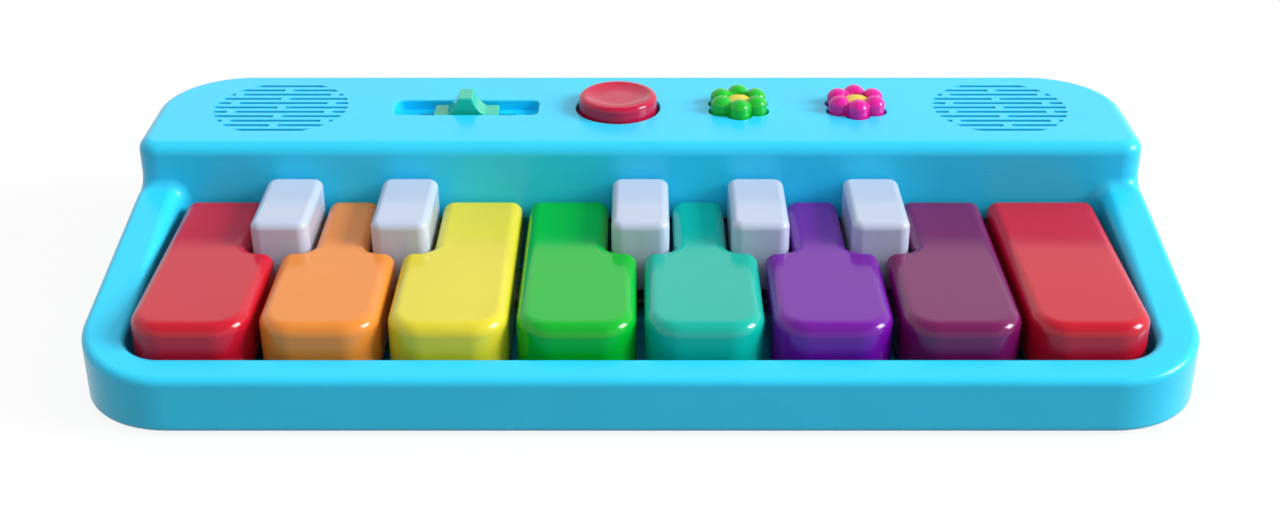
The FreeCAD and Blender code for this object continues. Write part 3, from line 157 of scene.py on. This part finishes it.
class PianoColours(bpy.types.PropertyGroup):
    """Colours of the moulded pieces, where a second colour begins, and the painted shade in the recesses"""

    case_blue: colour("Case", "Polished upper case", (0.028, 0.66, 1.0))
    # Painted shade: a deeper blue in the grille slots and the slider's pocket stands in for the shade and
    # blue bounce light down there, fading in between two depths below the panel
    recess_blue: colour("Recesses", "Slots of the grilles and the slider's pocket", (0.008, 0.62, 1.0))
    recess_start: length("Recess start", "Depth below the panel at which that blue begins", 0.0001)
    recess_full: length("Recess full", "Depth below the panel from which that blue is full", 0.0009)
    base_blue: colour("Base", "Grained base and battery door", (0.015, 0.60, 0.94))
    key_red: colour("Red keys", "First and last natural", (0.58, 0.006, 0.026))
    key_orange: colour("Orange key", "Second natural", (0.83, 0.265, 0.038))
    key_yellow: colour("Yellow key", "Third natural", (0.74, 0.65, 0.034))
    key_green: colour("Green key", "Fourth natural", (0.001, 0.47, 0.025))
    key_teal: colour("Teal key", "Fifth natural", (0.002, 0.46, 0.36))
    key_purple: colour("Purple key", "Sixth natural", (0.165, 0.004, 0.34))
    key_plum: colour("Plum key", "Seventh natural", (0.175, 0.006, 0.10))
    key_white: colour("Sharps", "Pale raised keys", (0.525, 0.60, 0.77))
    button_red: colour("Red button", "Round push button", (0.54, 0.004, 0.05))
    slider_green: colour("Slider", "Slider knob", (0.007, 0.54, 0.36))
    flower_green: colour("Green flower", "Petals of the left flower", (0.012, 0.52, 0.032))
    flower_pink: colour("Pink flower", "Petals of the right flower", (0.80, 0.010, 0.34))
    flower_yellow: colour("Flower centres", "Inserts in both flowers", (0.76, 0.62, 0.045))
    cell_copper: colour("Cell ends", "Copper end of the cells' jackets", (0.55, 0.28, 0.10))
    cell_band: share("Cell band", "Where the copper begins, from the middle to the right end", 0.45)
    wire_black: colour("Black wires", "Second wire of each pair", (0.015, 0.015, 0.016))


class PianoFinish(bpy.types.PropertyGroup):
    """How the plastics shine"""

    gloss: share("Key gloss", "Roughness of the keys", 0.15)
    case_gloss: share("Case gloss", "Roughness of the upper case", 0.25)
    control_gloss: share("Control gloss", "Roughness of the buttons and the slider", 0.10)
    shine: share("Shine", "Specular level of the keys and controls", 0.42)
    case_shine: share("Case shine", "Specular level of the upper case", 0.32)
    peel_size: amount("Peel size", "Ripples of the polished skin per metre", 420.0)
    peel_depth: length("Peel depth", "Height of the ripples of the polished skin", 0.000002)
    marks: share("Hairlines", "How strongly fine handling lines dull the gloss", 0.02)
    grain: share("Grain roughness", "Roughness of the grained base", 0.48)
    grain_size: amount("Grain size", "Pits of the grained base per metre", 2400.0)
    grain_drift: share("Grain drift", "How far the colour of the grained base drifts", 0.03)
    grain_depth: length("Grain depth", "Depth of the pits of the grained base", 0.00002)


class PianoFlower(bpy.types.PropertyGroup):
    """Sizes of a flower button"""

    petals: count("Petals", "Number of petals", 3, 6)
    petal_radius: length("Petal radius", "Radius of one petal", 0.0029)
    petal_circle: length("Petal circle", "Radius of the circle through the petals", 0.0054)
    petal_rise: length("Petal rise", "Height of the petals above the panel", 0.00435)
    petal_shoulder: length("Petal shoulder", "Height at which a petal begins to dome", 0.0025)
    core_radius: length("Core radius", "Radius of the disc that joins the petals", 0.0054)
    core_rise: length("Core rise", "Height of that disc above the panel", 0.0017)
    bore_radius: length("Bore radius", "Radius of the hole for the centre", 0.00335)
    bore_floor: length("Bore floor", "Height of that hole's floor above the panel", 0.0001)
    flange_radius: length("Flange radius", "Radius of the flange under the panel", 0.0102)
    flange_top: length("Flange top", "Depth of the flange's upper face below the panel", 0.00255)
    flange_thick: length("Flange thickness", "Thickness of the flange", 0.0015)
    stem_radius: length("Stem radius", "Radius of the stem under the flange", 0.0026)
    voxel: length("Voxel", "Grid on which the petals melt together", 0.0002)
    soften: count("Soften", "Smoothing passes over the creases", 0, 7)
    soften_share: share("Soften share", "How strongly one pass smooths", 0.5)


class PianoPads(bpy.types.PropertyGroup):
    """Sizes of the silicone pads under the keys and the buttons"""

    sheet: length("Sheet", "Thickness of the sheet between the domes", 0.0008)
    web: length("Web", "Height above the sheet at which a dome is divided from it", 0.00002)
    dome_half: length("Dome half", "Half the width of the piece cut out round a dome", 0.006)
    dome_edge: length("Dome edge", "Rounding of a dome's top", 0.0003)
    dome_steps: count("Dome steps", "Steps of that rounding", 1, 3)
    plunger_half: length("Plunger half", "Half the width of a key's plunger, and a little to spare", 0.003)
    gap: length("Gap", "Play between a dome and what presses it, at rest", 0.0003)
    play: length("Play", "What is left of that play when a dome is pressed", 0.00005)
    merge: length("Merge", "Distance within which the corners of a copied mesh are joined", 0.000001)


class PianoStudio(bpy.types.PropertyGroup):
    """Floor, light and camera"""

    camera_place: spot("Camera", "Where the camera stands", (-0.0001, -0.41125, 0.2252))
    camera_tilt: angle("Tilt", "Camera angle from straight down", 62.82)
    camera_near: length("Near", "Distance from which the camera sees", 0.01)
    lens: millimetres("Lens", "Focal length", 50.0)
    sensor: millimetres("Sensor", "Width of the camera's sensor", 36.0)
    floor: colour("Floor", "Pale floor, as the object is lit by it", (0.25, 0.25, 0.25))
    floor_seen: colour("Floor seen", "The same floor to the camera and in reflections", (0.96, 0.96, 0.96))
    floor_white: share("Floor white", "How much plain white lifts the floor's shadows", 0.90)
    floor_roughness: share("Floor roughness", "Roughness of the floor", 0.9)
    floor_size: length("Floor size", "Side of the floor", 6.0)
    sky: amount("Sky", "Strength of the soft light from all round", 0.31)
    zenith: share("Zenith", "How bright the top of the sky looks in reflections, where 1 is white", 0.35)
    lean: amount("Lean", "How far the darker top of the sky leans towards the front", 0.4)
    dusk_start: angle("Dusk start", "Height at which the sky begins to darken", 38)
    dusk_end: angle("Dusk end", "Height above which the sky is darkest", 62)
    top: watts("Top light", "Power of the large soft box overhead", 9.3)
    top_place: spot("Top light place", "Where the large soft box hangs", (0.0, -0.25, 1.2))
    top_size: length("Top light size", "Side of the soft box overhead", 2.2)
    lamp: watts("Lamp", "Power of the soft box on the right", 250.0)
    lamp_place: spot("Lamp place", "Where the soft box hangs", (4.2, -0.6, 2.28))
    lamp_size: length("Lamp size", "Side of the soft box", 1.9)


class PianoSettings(bpy.types.PropertyGroup):
    """All settings of the toy piano"""

    colours: PointerProperty(type=PianoColours, name="Colours", description="Colours of the moulded pieces")
    finish: PointerProperty(type=PianoFinish, name="Finish", description="How the plastics shine")
    flower: PointerProperty(type=PianoFlower, name="Flower", description="Sizes of a flower button")
    pads: PointerProperty(type=PianoPads, name="Pads", description="Sizes of the silicone pads")
    studio: PointerProperty(type=PianoStudio, name="Studio", description="Floor, light and camera")


# Node tools
def add(tree, kind, inputs=None, **options):
    """Adds a node, sets its options, and links or sets its inputs."""
    made = tree.nodes.new(kind)
    for key, value in options.items():
        setattr(made, key, value)
    for key, value in (inputs or {}).items():
        if isinstance(value, bpy.types.NodeSocket):
            tree.links.new(value, made.inputs[key])
        else:
            made.inputs[key].default_value = value
    return made


def math_node(tree, operation, *values):
    return add(tree, "ShaderNodeMath", dict(enumerate(values)), operation=operation).outputs["Value"]


def chain(tree, operation, first, *others):
    """One operation on any number of values, two at a time."""
    for other in others:
        first = math_node(tree, operation, first, other)
    return first


def span(tree, value, source, target):
    """Maps a value from one span to another and holds it at the ends."""
    made = add(tree, "ShaderNodeMapRange", {
        "Value": value,
        "From Min": source[0],
        "From Max": source[1],
        "To Min": target[0],
        "To Max": target[1],
    })
    return made.outputs["Result"]


def noise(tree, place, scale, detail=2.0, distortion=0.0):
    made = add(tree, "ShaderNodeTexNoise", {
        "Vector": place,
        "Scale": scale,
        "Detail": detail,
        "Distortion": distortion,
    })
    return made.outputs["Fac"]


def mix_colours(tree, factor, first, second):
    made = add(tree, "ShaderNodeMix", {"Factor": factor, "A": (*first, 1.0), "B": (*second, 1.0)},
               data_type="RGBA")
    return made.outputs["Result"]


def mix_shaders(tree, factor, first, second):
    return add(tree, "ShaderNodeMixShader", {"Fac": factor, 1: first, 2: second}).outputs["Shader"]


def object_axes(tree):
    place = add(tree, "ShaderNodeTexCoord").outputs["Object"]
    return add(tree, "ShaderNodeSeparateXYZ", {"Vector": place}).outputs


def seen_rays(tree):
    """One for what the camera, a reflection or clear stuff sees, and zero for the light that is given."""
    rays = add(tree, "ShaderNodeLightPath").outputs
    return chain(tree, "MAXIMUM", rays["Is Camera Ray"], rays["Is Glossy Ray"], rays["Is Transmission Ray"])


def first_node(tree, kind):
    return next(node for node in tree.nodes if node.type == kind)


# Skins
def polished_skin(tree, given, place):
    """Polished moulding: faint flow clouds, a shallow ripple and patches of fine handling lines."""
    clouds = noise(tree, place, CLOUD_SIZE, detail=3.0, distortion=0.8)
    patches = span(tree, noise(tree, place, PATCH_SIZE), PATCH_SPAN, WHOLE)
    lines = []
    for turn in HAIR_TURNS:
        stretched = add(tree, "ShaderNodeMapping", {
            "Vector": place,
            "Rotation": (*HAIR_TILT, turn),
            "Scale": HAIR_STRETCH,
        })
        hair = noise(tree, stretched.outputs["Vector"], 1.0, detail=1.0)
        lines.append(span(tree, hair, HAIR_SPAN, WHOLE))
    hairs = chain(tree, "MAXIMUM", *lines)
    worn = chain(tree, "MULTIPLY", hairs, patches, given["Marks"])
    value = span(tree, clouds, NOISE_SPAN, CLOUD_TINT)
    tint = add(tree, "ShaderNodeHueSaturation", {"Color": given["Colour"], "Value": value})
    haze = math_node(tree, "ADD", given["Roughness"], span(tree, clouds, NOISE_SPAN, CLOUD_HAZE))
    dulled = math_node(tree, "ADD", haze, math_node(tree, "MULTIPLY", worn, HAIR_ROUGHNESS))
    ripple = noise(tree, place, given["Peel Size"], detail=1.5)
    height = math_node(tree, "SUBTRACT", ripple, math_node(tree, "MULTIPLY", worn, HAIR_DEPTH))
    return {"Colour": tint.outputs["Color"], "Roughness": dulled, "Height": height}


def fine_grain(tree, given, place):
    """Pits of one size and a slow drift of colour, as on moulded grain, rubber, card and paint."""
    pits = noise(tree, place, given["Grain Size"], detail=3.0)
    drift = span(tree, noise(tree, place, DRIFT_SIZE, detail=4.0), NOISE_SPAN, (-1.0, 1.0))
    shade = math_node(tree, "ADD", math_node(tree, "MULTIPLY", drift, given["Drift"]), 1.0)
    value = math_node(tree, "MULTIPLY", shade, span(tree, pits, NOISE_SPAN, PIT_SHADE))
    tint = add(tree, "ShaderNodeHueSaturation", {"Color": given["Colour"], "Value": value})
    rough = math_node(tree, "ADD", given["Roughness"], span(tree, pits, NOISE_SPAN, PIT_ROUGHNESS))
    return {"Colour": tint.outputs["Color"], "Roughness": rough, "Height": pits}


def skin_group(build, inputs):
    """The node group of a skin, built once and named after the function that builds it."""
    name = build.__name__
    if name in bpy.data.node_groups:
        return bpy.data.node_groups[name]
    tree = bpy.data.node_groups.new(name, "ShaderNodeTree")
    for way, labels in (("INPUT", inputs), ("OUTPUT", ("Colour", "Roughness", "Height"))):
        for label in labels:
            kind = "NodeSocketColor" if label == "Colour" else "NodeSocketFloat"
            tree.interface.new_socket(name=label, in_out=way, socket_type=kind)
    given = tree.nodes.new("NodeGroupInput").outputs
    place = tree.nodes.new("ShaderNodeTexCoord").outputs["Object"]
    add(tree, "NodeGroupOutput", build(tree, given, place))
    return tree


# Materials
def start_material(name):
    made = bpy.data.materials.new(name)
    made.use_nodes = True
    tree = made.node_tree
    tree.nodes.clear()
    shader = tree.nodes.new("ShaderNodeBsdfPrincipled")
    add(tree, "ShaderNodeOutputMaterial", {"Surface": shader.outputs["BSDF"]})
    return made, tree, shader


def skin_material(name, build, values, depth):
    """A material whose colour, roughness and bump come from a skin."""
    made, tree, shader = start_material(name)
    skin = add(tree, "ShaderNodeGroup", values, node_tree=skin_group(build, values))
    bump = add(tree, "ShaderNodeBump", {
        "Height": skin.outputs["Height"],
        "Distance": depth,
        "Strength": 1.0,
    })
    tree.links.new(skin.outputs["Colour"], shader.inputs["Base Color"])
    tree.links.new(skin.outputs["Roughness"], shader.inputs["Roughness"])
    tree.links.new(bump.outputs["Normal"], shader.inputs["Normal"])
    return made, shader


def polished_material(slot, roughness, shine):
    settings = bpy.context.scene.toy_piano
    made, shader = skin_material(slot, polished_skin, {
        "Colour": (*getattr(settings.colours, slot), 1.0),
        "Roughness": roughness,
        "Peel Size": settings.finish.peel_size,
        "Marks": settings.finish.marks,
    }, settings.finish.peel_depth)
    shader.inputs["Specular IOR Level"].default_value = shine
    return made


def grained_material(name, grain):
    made, shader = skin_material(name, fine_grain, {
        "Colour": (*grain.shade, 1.0),
        "Roughness": grain.roughness,
        "Grain Size": grain.size,
        "Drift": grain.drift,
    }, grain.depth)
    shader.inputs["Metallic"].default_value = grain.metallic
    return made


def second_colour(material, mask, shade):
    """Gives the masked part of a material's skin another colour."""
    tree = material.node_tree
    given = first_node(tree, "GROUP").inputs["Colour"]
    tree.links.new(mix_colours(tree, mask, given.default_value[:3], shade), given)


def two_tone(material, axis, at, shade):
    """Gives the far side of a plane across one axis another colour."""
    tree = material.node_tree
    second_colour(material, math_node(tree, "GREATER_THAN", object_axes(tree)[axis], at), shade)


def dress(node, material):
    shape = NODES[node]
    if not shape.material_slots:
        shape.data.materials.append(material)
    for place in shape.material_slots:
        place.material = material


def dress_by_slot(nodes, make):
    """Dresses nodes in what make gives for their material slots, once for each slot."""
    made = {}
    for node in nodes:
        slot = SLOT_OF[node]
        if slot not in made:
            made[slot] = make(slot)
        dress(node, made[slot])


def dress_polished(nodes, roughness, shine):
    dress_by_slot(nodes, lambda slot: polished_material(slot, roughness, shine))


def dress_grained(nodes):
    dress_by_slot(nodes, lambda slot: grained_material(slot, GRAINS[slot]))


# Modelling tools
def clear_selection():
    if bpy.context.object and bpy.context.object.mode != "OBJECT":
        bpy.ops.object.mode_set(mode="OBJECT")
    bpy.ops.object.select_all(action="DESELECT")


def select_only(*shapes):
    """Selects these shapes alone, the first one active."""
    clear_selection()
    for shape in shapes:
        shape.select_set(True)
    bpy.context.view_layer.objects.active = shapes[0]


def apply_modifier(shape, kind, **options):
    select_only(shape)
    modifier = shape.modifiers.new(kind.lower(), kind)
    for key, value in options.items():
        setattr(modifier, key, value)
    bpy.ops.object.modifier_apply(modifier=modifier.name)


def disc(x, y, radius, low, high):
    clear_selection()
    bpy.ops.mesh.primitive_cylinder_add(vertices=DISC_SIDES, radius=radius, depth=high - low,
                                        location=(x, y, (low + high) / 2))
    return bpy.context.object


def model_petal(x, y, flower, panel):
    """The cap of a ball, its rim drawn down to the flange and closed."""
    shoulder = panel + flower.petal_shoulder
    dome = flower.petal_rise - flower.petal_shoulder
    ball = (flower.petal_radius ** 2 + dome ** 2) / (2 * dome)
    foot = panel - flower.flange_top - flower.flange_thick / 2
    clear_selection()
    bpy.ops.mesh.primitive_uv_sphere_add(segments=BALL_SEGMENTS, ring_count=BALL_RINGS, radius=ball,
                                         location=(x, y + flower.petal_circle, shoulder + dome - ball))
    petal = bpy.context.object
    bpy.ops.object.mode_set(mode="EDIT")
    bpy.ops.mesh.select_all(action="SELECT")
    bpy.ops.mesh.bisect(plane_co=(x, y, shoulder), plane_no=(0, 0, 1), clear_inner=True)
    bpy.ops.mesh.select_mode(type="EDGE")
    bpy.ops.mesh.select_all(action="DESELECT")
    bpy.ops.mesh.select_non_manifold()
    bpy.ops.mesh.extrude_region_move(TRANSFORM_OT_translate={"value": (0, 0, foot - shoulder)})
    bpy.ops.mesh.edge_face_add()
    bpy.ops.object.mode_set(mode="OBJECT")
    return petal


def model_petals(x, y, flower, panel):
    """One petal, and its copies turned about the flower's middle."""
    petals = [model_petal(x, y, flower, panel)]
    for n in range(1, flower.petals):
        select_only(petals[0])
        bpy.ops.object.duplicate(linked=False)
        bpy.ops.transform.rotate(value=n * 2 * math.pi / flower.petals, orient_axis="Z",
                                 center_override=(x, y, panel))
        petals.append(bpy.context.object)
    return petals


def model_flower(body, node):
    """Petals, core, flange and stem melted into one soft moulding, bored for its centre."""
    settings = bpy.context.scene.toy_piano
    flower = settings.flower
    low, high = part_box(node)
    x, y = (low.x + high.x) / 2, (low.y + high.y) / 2
    panel = high.z - flower.petal_rise
    flange = panel - flower.flange_top
    skirt = flange - flower.flange_thick
    shapes = model_petals(x, y, flower, panel)
    shapes.append(disc(x, y, flower.core_radius, skirt, panel + flower.core_rise))
    shapes.append(disc(x, y, flower.flange_radius, skirt, flange))
    shapes.append(disc(x, y, flower.stem_radius, low.z, flange))
    select_only(*shapes)
    bpy.ops.object.join()
    moulding = bpy.context.object
    apply_modifier(moulding, "REMESH", mode="VOXEL", voxel_size=flower.voxel)
    bore = disc(x, y, flower.bore_radius, panel + flower.bore_floor, panel + 2 * flower.petal_rise)
    apply_modifier(moulding, "BOOLEAN", operation="DIFFERENCE", object=bore, solver="EXACT")
    bpy.data.objects.remove(bore)
    apply_modifier(moulding, "REMESH", mode="VOXEL", voxel_size=flower.voxel)
    apply_modifier(moulding, "SMOOTH", factor=flower.soften_share, iterations=flower.soften)
    select_only(moulding)
    bpy.ops.object.transform_apply(location=True, rotation=True, scale=True)
    bpy.ops.object.shade_smooth()
    moulding.name = body
    slot = SLOT_OF[node]
    moulding.data.materials.clear()
    moulding.data.materials.append(
        polished_material(slot, settings.finish.control_gloss, settings.finish.shine))
    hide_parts(node)
    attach(moulding, body)


def slice_copy(node, name, cuts):
    """A merged copy of a node's mesh, cut back to the side that each plane's normal points to."""
    merge = bpy.context.scene.toy_piano.pads.merge
    piece = bpy.data.objects.new(name, NODES[node].data.copy())
    bpy.context.collection.objects.link(piece)
    select_only(piece)
    bpy.ops.object.mode_set(mode="EDIT")
    bpy.ops.mesh.select_all(action="SELECT")
    bpy.ops.mesh.remove_doubles(threshold=merge)
    for place, normal in cuts:
        bpy.ops.mesh.select_all(action="SELECT")
        bpy.ops.mesh.bisect(plane_co=place, plane_no=normal, use_fill=True, clear_inner=True, threshold=merge)
    bpy.ops.object.mode_set(mode="OBJECT")
    return piece


class PIANO_OT_case(bpy.types.Operator):
    """Polish the upper case"""

    bl_idname = "toy_piano.case"
    bl_label = "Case"

    def execute(self, context):
        settings = context.scene.toy_piano
        dress_polished(["upper_case"], settings.finish.case_gloss, settings.finish.case_shine)
        self.tint_recesses(settings.colours)
        return {"FINISHED"}

    def tint_recesses(self, colours):
        """Painted shade: a deeper blue below the panel, between the two ends of the row of controls, in place
        of the shade in the slots and the pocket.
        """
        low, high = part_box("speaker_right_frame")
        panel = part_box("upper_case")[1].z
        material = NODES["upper_case"].material_slots[0].material
        tree = material.node_tree
        axes = object_axes(tree)
        fade = (panel - colours.recess_full, panel - colours.recess_start)
        shade_depth = span(tree, axes["Z"], fade, (1.0, 0.0))
        across = math_node(tree, "LESS_THAN", math_node(tree, "ABSOLUTE", axes["X"]), high.x)
        row = math_node(tree, "COMPARE", axes["Y"], (low.y + high.y) / 2, (high.y - low.y) / 2)
        second_colour(material, chain(tree, "MULTIPLY", shade_depth, across, row), colours.recess_blue)


class PIANO_OT_base(bpy.types.Operator):
    """Grain the base and the battery door, and make the feet rubber"""

    bl_idname = "toy_piano.base"
    bl_label = "Base"

    def execute(self, context):
        colours = context.scene.toy_piano.colours
        finish = context.scene.toy_piano.finish
        plastic = grained_material("base_blue", Grain(colours.base_blue, finish.grain, finish.grain_size,
                                                      finish.grain_drift, finish.grain_depth))
        dress("lower_case", plastic)
        dress("battery_door", plastic)
        dress_grained(["rubber_feet"])
        return {"FINISHED"}


class PIANO_OT_keys(bpy.types.Operator):
    """Polish the naturals and the sharps in their own colours"""

    bl_idname = "toy_piano.keys"
    bl_label = "Keys"

    def execute(self, context):
        finish = context.scene.toy_piano.finish
        levers = [node for node, slot in SLOT_OF.items() if slot.startswith("key_")]
        dress_polished(levers, finish.gloss, finish.shine)
        return {"FINISHED"}


class PIANO_OT_controls(bpy.types.Operator):
    """Polish the red button, the slider knob and the flower centres"""

    bl_idname = "toy_piano.controls"
    bl_label = "Controls"

    def execute(self, context):
        finish = context.scene.toy_piano.finish
        dress_polished(["red_button", "slider_knob", "green_flower_centre", "pink_flower_centre"],
                       finish.control_gloss, finish.shine)
        return {"FINISHED"}


class PIANO_OT_flowers(bpy.types.Operator):
    """Model the two flower buttons with soft creases between their petals"""

    bl_idname = "toy_piano.flowers"
    bl_label = "Flower buttons"

    def execute(self, context):
        model_flower("green_flower", "green_flower_button")
        model_flower("pink_flower", "pink_flower_button")
        return {"FINISHED"}


class PIANO_OT_electronics(bpy.types.Operator):
    """Finish the boards, the chip and the slide switch"""

    bl_idname = "toy_piano.electronics"
    bl_label = "Electronics"

    def execute(self, context):
        dress_grained(["key_contact_board", "control_board", "sound_chip", "slide_switch_body",
                       "slide_switch_lever"])
        return {"FINISHED"}


class PIANO_OT_silicone(bpy.types.Operator):
    """Divide the silicone pads into sheets and a dome under each key and button"""

    bl_idname = "toy_piano.silicone"
    bl_label = "Silicone pads"

    def execute(self, context):
        silicone = grained_material("silicone", GRAINS["silicone"])
        for node in ("key_dome_strip", "button_dome_pad"):
            self.divide(node, silicone, context.scene.toy_piano.pads)
        return {"FINISHED"}

    def divide(self, node, silicone, pads):
        """Parts a pad into its sheet and a dome for each joint that presses it."""
        behaviour = frame["record"]["behaviour"]
        low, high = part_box(node)
        cut = low.z + pads.sheet + pads.web
        crowns = [v.co.y for v in NODES[node].data.vertices if high.z - v.co.z < pads.merge]
        y = (min(crowns) + max(crowns)) / 2
        sheet = slice_copy(node, node + "_sheet", [((0, y, cut), (0, 0, -1))])
        self.finish(sheet, node, silicone)
        for joint in behaviour["joints"]:
            if node not in [soft["node"] for soft in joint.get("deforming_nodes") or []]:
                continue
            x, drop = self.press(joint, behaviour["bodies"], y, pads)
            above = ((x, y, cut), (0, 0, 1))
            left = ((x - pads.dome_half, y, cut), (1, 0, 0))
            right = ((x + pads.dome_half, y, cut), (-1, 0, 0))
            dome = slice_copy(node, "dome_" + joint["child"], [above, left, right])
            apply_modifier(dome, "BEVEL", width=pads.dome_edge, segments=pads.dome_steps,
                           limit_method="ANGLE")
            self.finish(dome, node, silicone)
            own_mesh(dome)

    def press(self, joint, bodies, y, pads):
        """Where a dome stands, and how far the piece above it comes down at the joint's limit."""
        if joint["type"] == "hinge":
            reach = joint["pos_m"][1] - y + pads.plunger_half
            return joint["pos_m"][0], reach * math.sin(math.radians(joint["range_deg"][1]))
        low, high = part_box(bodies[joint["child"]][0])
        return (low.x + high.x) / 2, joint["range_m"][1]

    def finish(self, piece, node, silicone):
        """Smooths and dresses a piece of a pad, and lets it stand for the pad on the case."""
        select_only(piece)
        bpy.ops.object.shade_smooth_by_angle()
        piece.data.materials.clear()
        piece.data.materials.append(silicone)
        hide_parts(node)
        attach(piece, "case")


class PIANO_OT_speakers(bpy.types.Operator):
    """Finish the frames, magnets and cones of both loudspeakers"""

    bl_idname = "toy_piano.speakers"
    bl_label = "Loudspeakers"

    def execute(self, context):
        for piece in ("frame", "magnet", "cone"):
            dress_grained(["speaker_left_" + piece, "speaker_right_" + piece])
        return {"FINISHED"}


class PIANO_OT_power(bpy.types.Operator):
    """Finish the cells, their contacts, the wires and the ribbon"""

    bl_idname = "toy_piano.power"
    bl_label = "Batteries and wires"

    def execute(self, context):
        colours = context.scene.toy_piano.colours
        cells = grained_material("cell_jacket", GRAINS["cell_jacket"])
        two_tone(cells, "X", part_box("battery_cells")[1].x * colours.cell_band, colours.cell_copper)
        dress("battery_cells", cells)
        for node in ("speaker_left_wires", "speaker_right_wires", "battery_wires"):
            low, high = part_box(node)
            insulation = grained_material(node, GRAINS["wire_red"])
            two_tone(insulation, "Y", (low.y + high.y) / 2, colours.wire_black)
            dress(node, insulation)
        dress_grained(["battery_contacts", "key_ribbon"])
        return {"FINISHED"}


class PIANO_OT_hardware(bpy.types.Operator):
    """Finish the pivot rod and the screws"""

    bl_idname = "toy_piano.hardware"
    bl_label = "Rod and screws"

    def execute(self, context):
        dress_grained([node for node, slot in SLOT_OF.items() if slot == "steel"])
        return {"FINISHED"}


class PIANO_OT_studio(bpy.types.Operator):
    """Set up the floor, the light and the camera"""

    bl_idname = "toy_piano.studio"
    bl_label = "Studio"

    def execute(self, context):
        studio = context.scene.toy_piano.studio
        context.scene.view_settings.view_transform = "Standard"
        clear_selection()
        bpy.ops.mesh.primitive_plane_add(size=studio.floor_size, location=(0, 0, 0))
        floor = context.object
        floor.name = "floor"
        floor.data.materials.append(self.floor_material(studio))
        self.light_sky(context, studio)
        self.hang_lamp("soft_box", studio.lamp_place, studio.lamp, studio.lamp_size)
        overhead = self.hang_lamp("top_light", studio.top_place, studio.top, studio.top_size)
        overhead.visible_glossy = False
        bpy.ops.object.camera_add(location=studio.camera_place, rotation=(studio.camera_tilt, 0, 0))
        camera = context.object
        camera.data.lens = studio.lens
        camera.data.sensor_width = studio.sensor
        camera.data.clip_start = studio.camera_near
        context.scene.camera = camera
        return {"FINISHED"}

    def hang_lamp(self, name, place, power, size):
        """A square soft box that looks at the origin."""
        bpy.ops.object.light_add(type="AREA", location=place)
        lamp = bpy.context.object
        lamp.name = name
        lamp.data.energy = power
        lamp.data.size = size
        lamp.rotation_euler = (-lamp.location).to_track_quat("-Z", "Y").to_euler()
        return lamp

    def floor_material(self, studio):
        """Pale floor that looks white to the camera, keeps the shadow and is clear from below."""
        made, tree, shader = start_material("floor")
        shader.inputs["Roughness"].default_value = studio.floor_roughness
        shader.inputs["Specular IOR Level"].default_value = 0.0
        seen = seen_rays(tree)
        tone = mix_colours(tree, seen, studio.floor, studio.floor_seen)
        tree.links.new(tone, shader.inputs["Base Color"])
        white = add(tree, "ShaderNodeEmission", {"Color": WHITE, "Strength": 1.0}).outputs["Emission"]
        lift = math_node(tree, "MULTIPLY", seen, studio.floor_white)
        pale = mix_shaders(tree, lift, shader.outputs["BSDF"], white)
        clear = add(tree, "ShaderNodeBsdfTransparent").outputs["BSDF"]
        below = add(tree, "ShaderNodeNewGeometry").outputs["Backfacing"]
        both = mix_shaders(tree, below, pale, clear)
        tree.links.new(both, first_node(tree, "OUTPUT_MATERIAL").inputs["Surface"])
        return made

    def light_sky(self, context, studio):
        """White that darkens overhead for the camera and for reflections, and even for the light it gives."""
        world = bpy.data.worlds.new("studio")
        world.use_nodes = True
        context.scene.world = world
        tree = world.node_tree
        tree.nodes.clear()
        place = add(tree, "ShaderNodeTexCoord").outputs["Generated"]
        height = add(tree, "ShaderNodeVectorMath", {0: place, 1: (0.0, -studio.lean, 1.0)},
                     operation="DOT_PRODUCT").outputs["Value"]
        dusk = (math.sin(studio.dusk_start), math.sin(studio.dusk_end))
        looks = span(tree, height, dusk, (1.0, studio.zenith))
        strength = span(tree, seen_rays(tree), WHOLE, (studio.sky, looks))
        sky = add(tree, "ShaderNodeBackground", {"Color": WHITE, "Strength": strength})
        add(tree, "ShaderNodeOutputWorld", {"Surface": sky.outputs["Background"]})


STEPS = (
    PIANO_OT_case,
    PIANO_OT_base,
    PIANO_OT_keys,
    PIANO_OT_controls,
    PIANO_OT_flowers,
    PIANO_OT_electronics,
    PIANO_OT_silicone,
    PIANO_OT_speakers,
    PIANO_OT_power,
    PIANO_OT_hardware,
    PIANO_OT_studio,
)


class PIANO_PT_panel(bpy.types.Panel):
    """Steps and settings of the toy piano"""

    bl_idname = "PIANO_PT_panel"
    bl_label = "Toy Piano"
    bl_space_type = "VIEW_3D"
    bl_region_type = "UI"
    bl_category = "Toy Piano"

    def draw(self, context):
        for step in STEPS:
            self.layout.operator(step.bl_idname)
        settings = context.scene.toy_piano
        for group in (settings.colours, settings.finish, settings.flower, settings.pads, settings.studio):
            box = self.layout.box()
            for key in group.bl_rna.properties.keys():
                if key not in ("rna_type", "name"):
                    box.prop(group, key)


CLASSES = (
    PianoColours,
    PianoFinish,
    PianoFlower,
    PianoPads,
    PianoStudio,
    PianoSettings,
    *STEPS,
    PIANO_PT_panel,
)


def register():
    for item in CLASSES:
        bpy.utils.register_class(item)
    bpy.types.Scene.toy_piano = PointerProperty(type=PianoSettings)


def unregister():
    del bpy.types.Scene.toy_piano
    for item in reversed(CLASSES):
        bpy.utils.unregister_class(item)


def main():
    register()
    bpy.ops.toy_piano.case()
    bpy.ops.toy_piano.base()
    bpy.ops.toy_piano.keys()
    bpy.ops.toy_piano.controls()
    bpy.ops.toy_piano.flowers()
    bpy.ops.toy_piano.electronics()
    bpy.ops.toy_piano.silicone()
    bpy.ops.toy_piano.speakers()
    bpy.ops.toy_piano.power()
    bpy.ops.toy_piano.hardware()
    bpy.ops.toy_piano.studio()


if __name__ == "__main__":
    main()
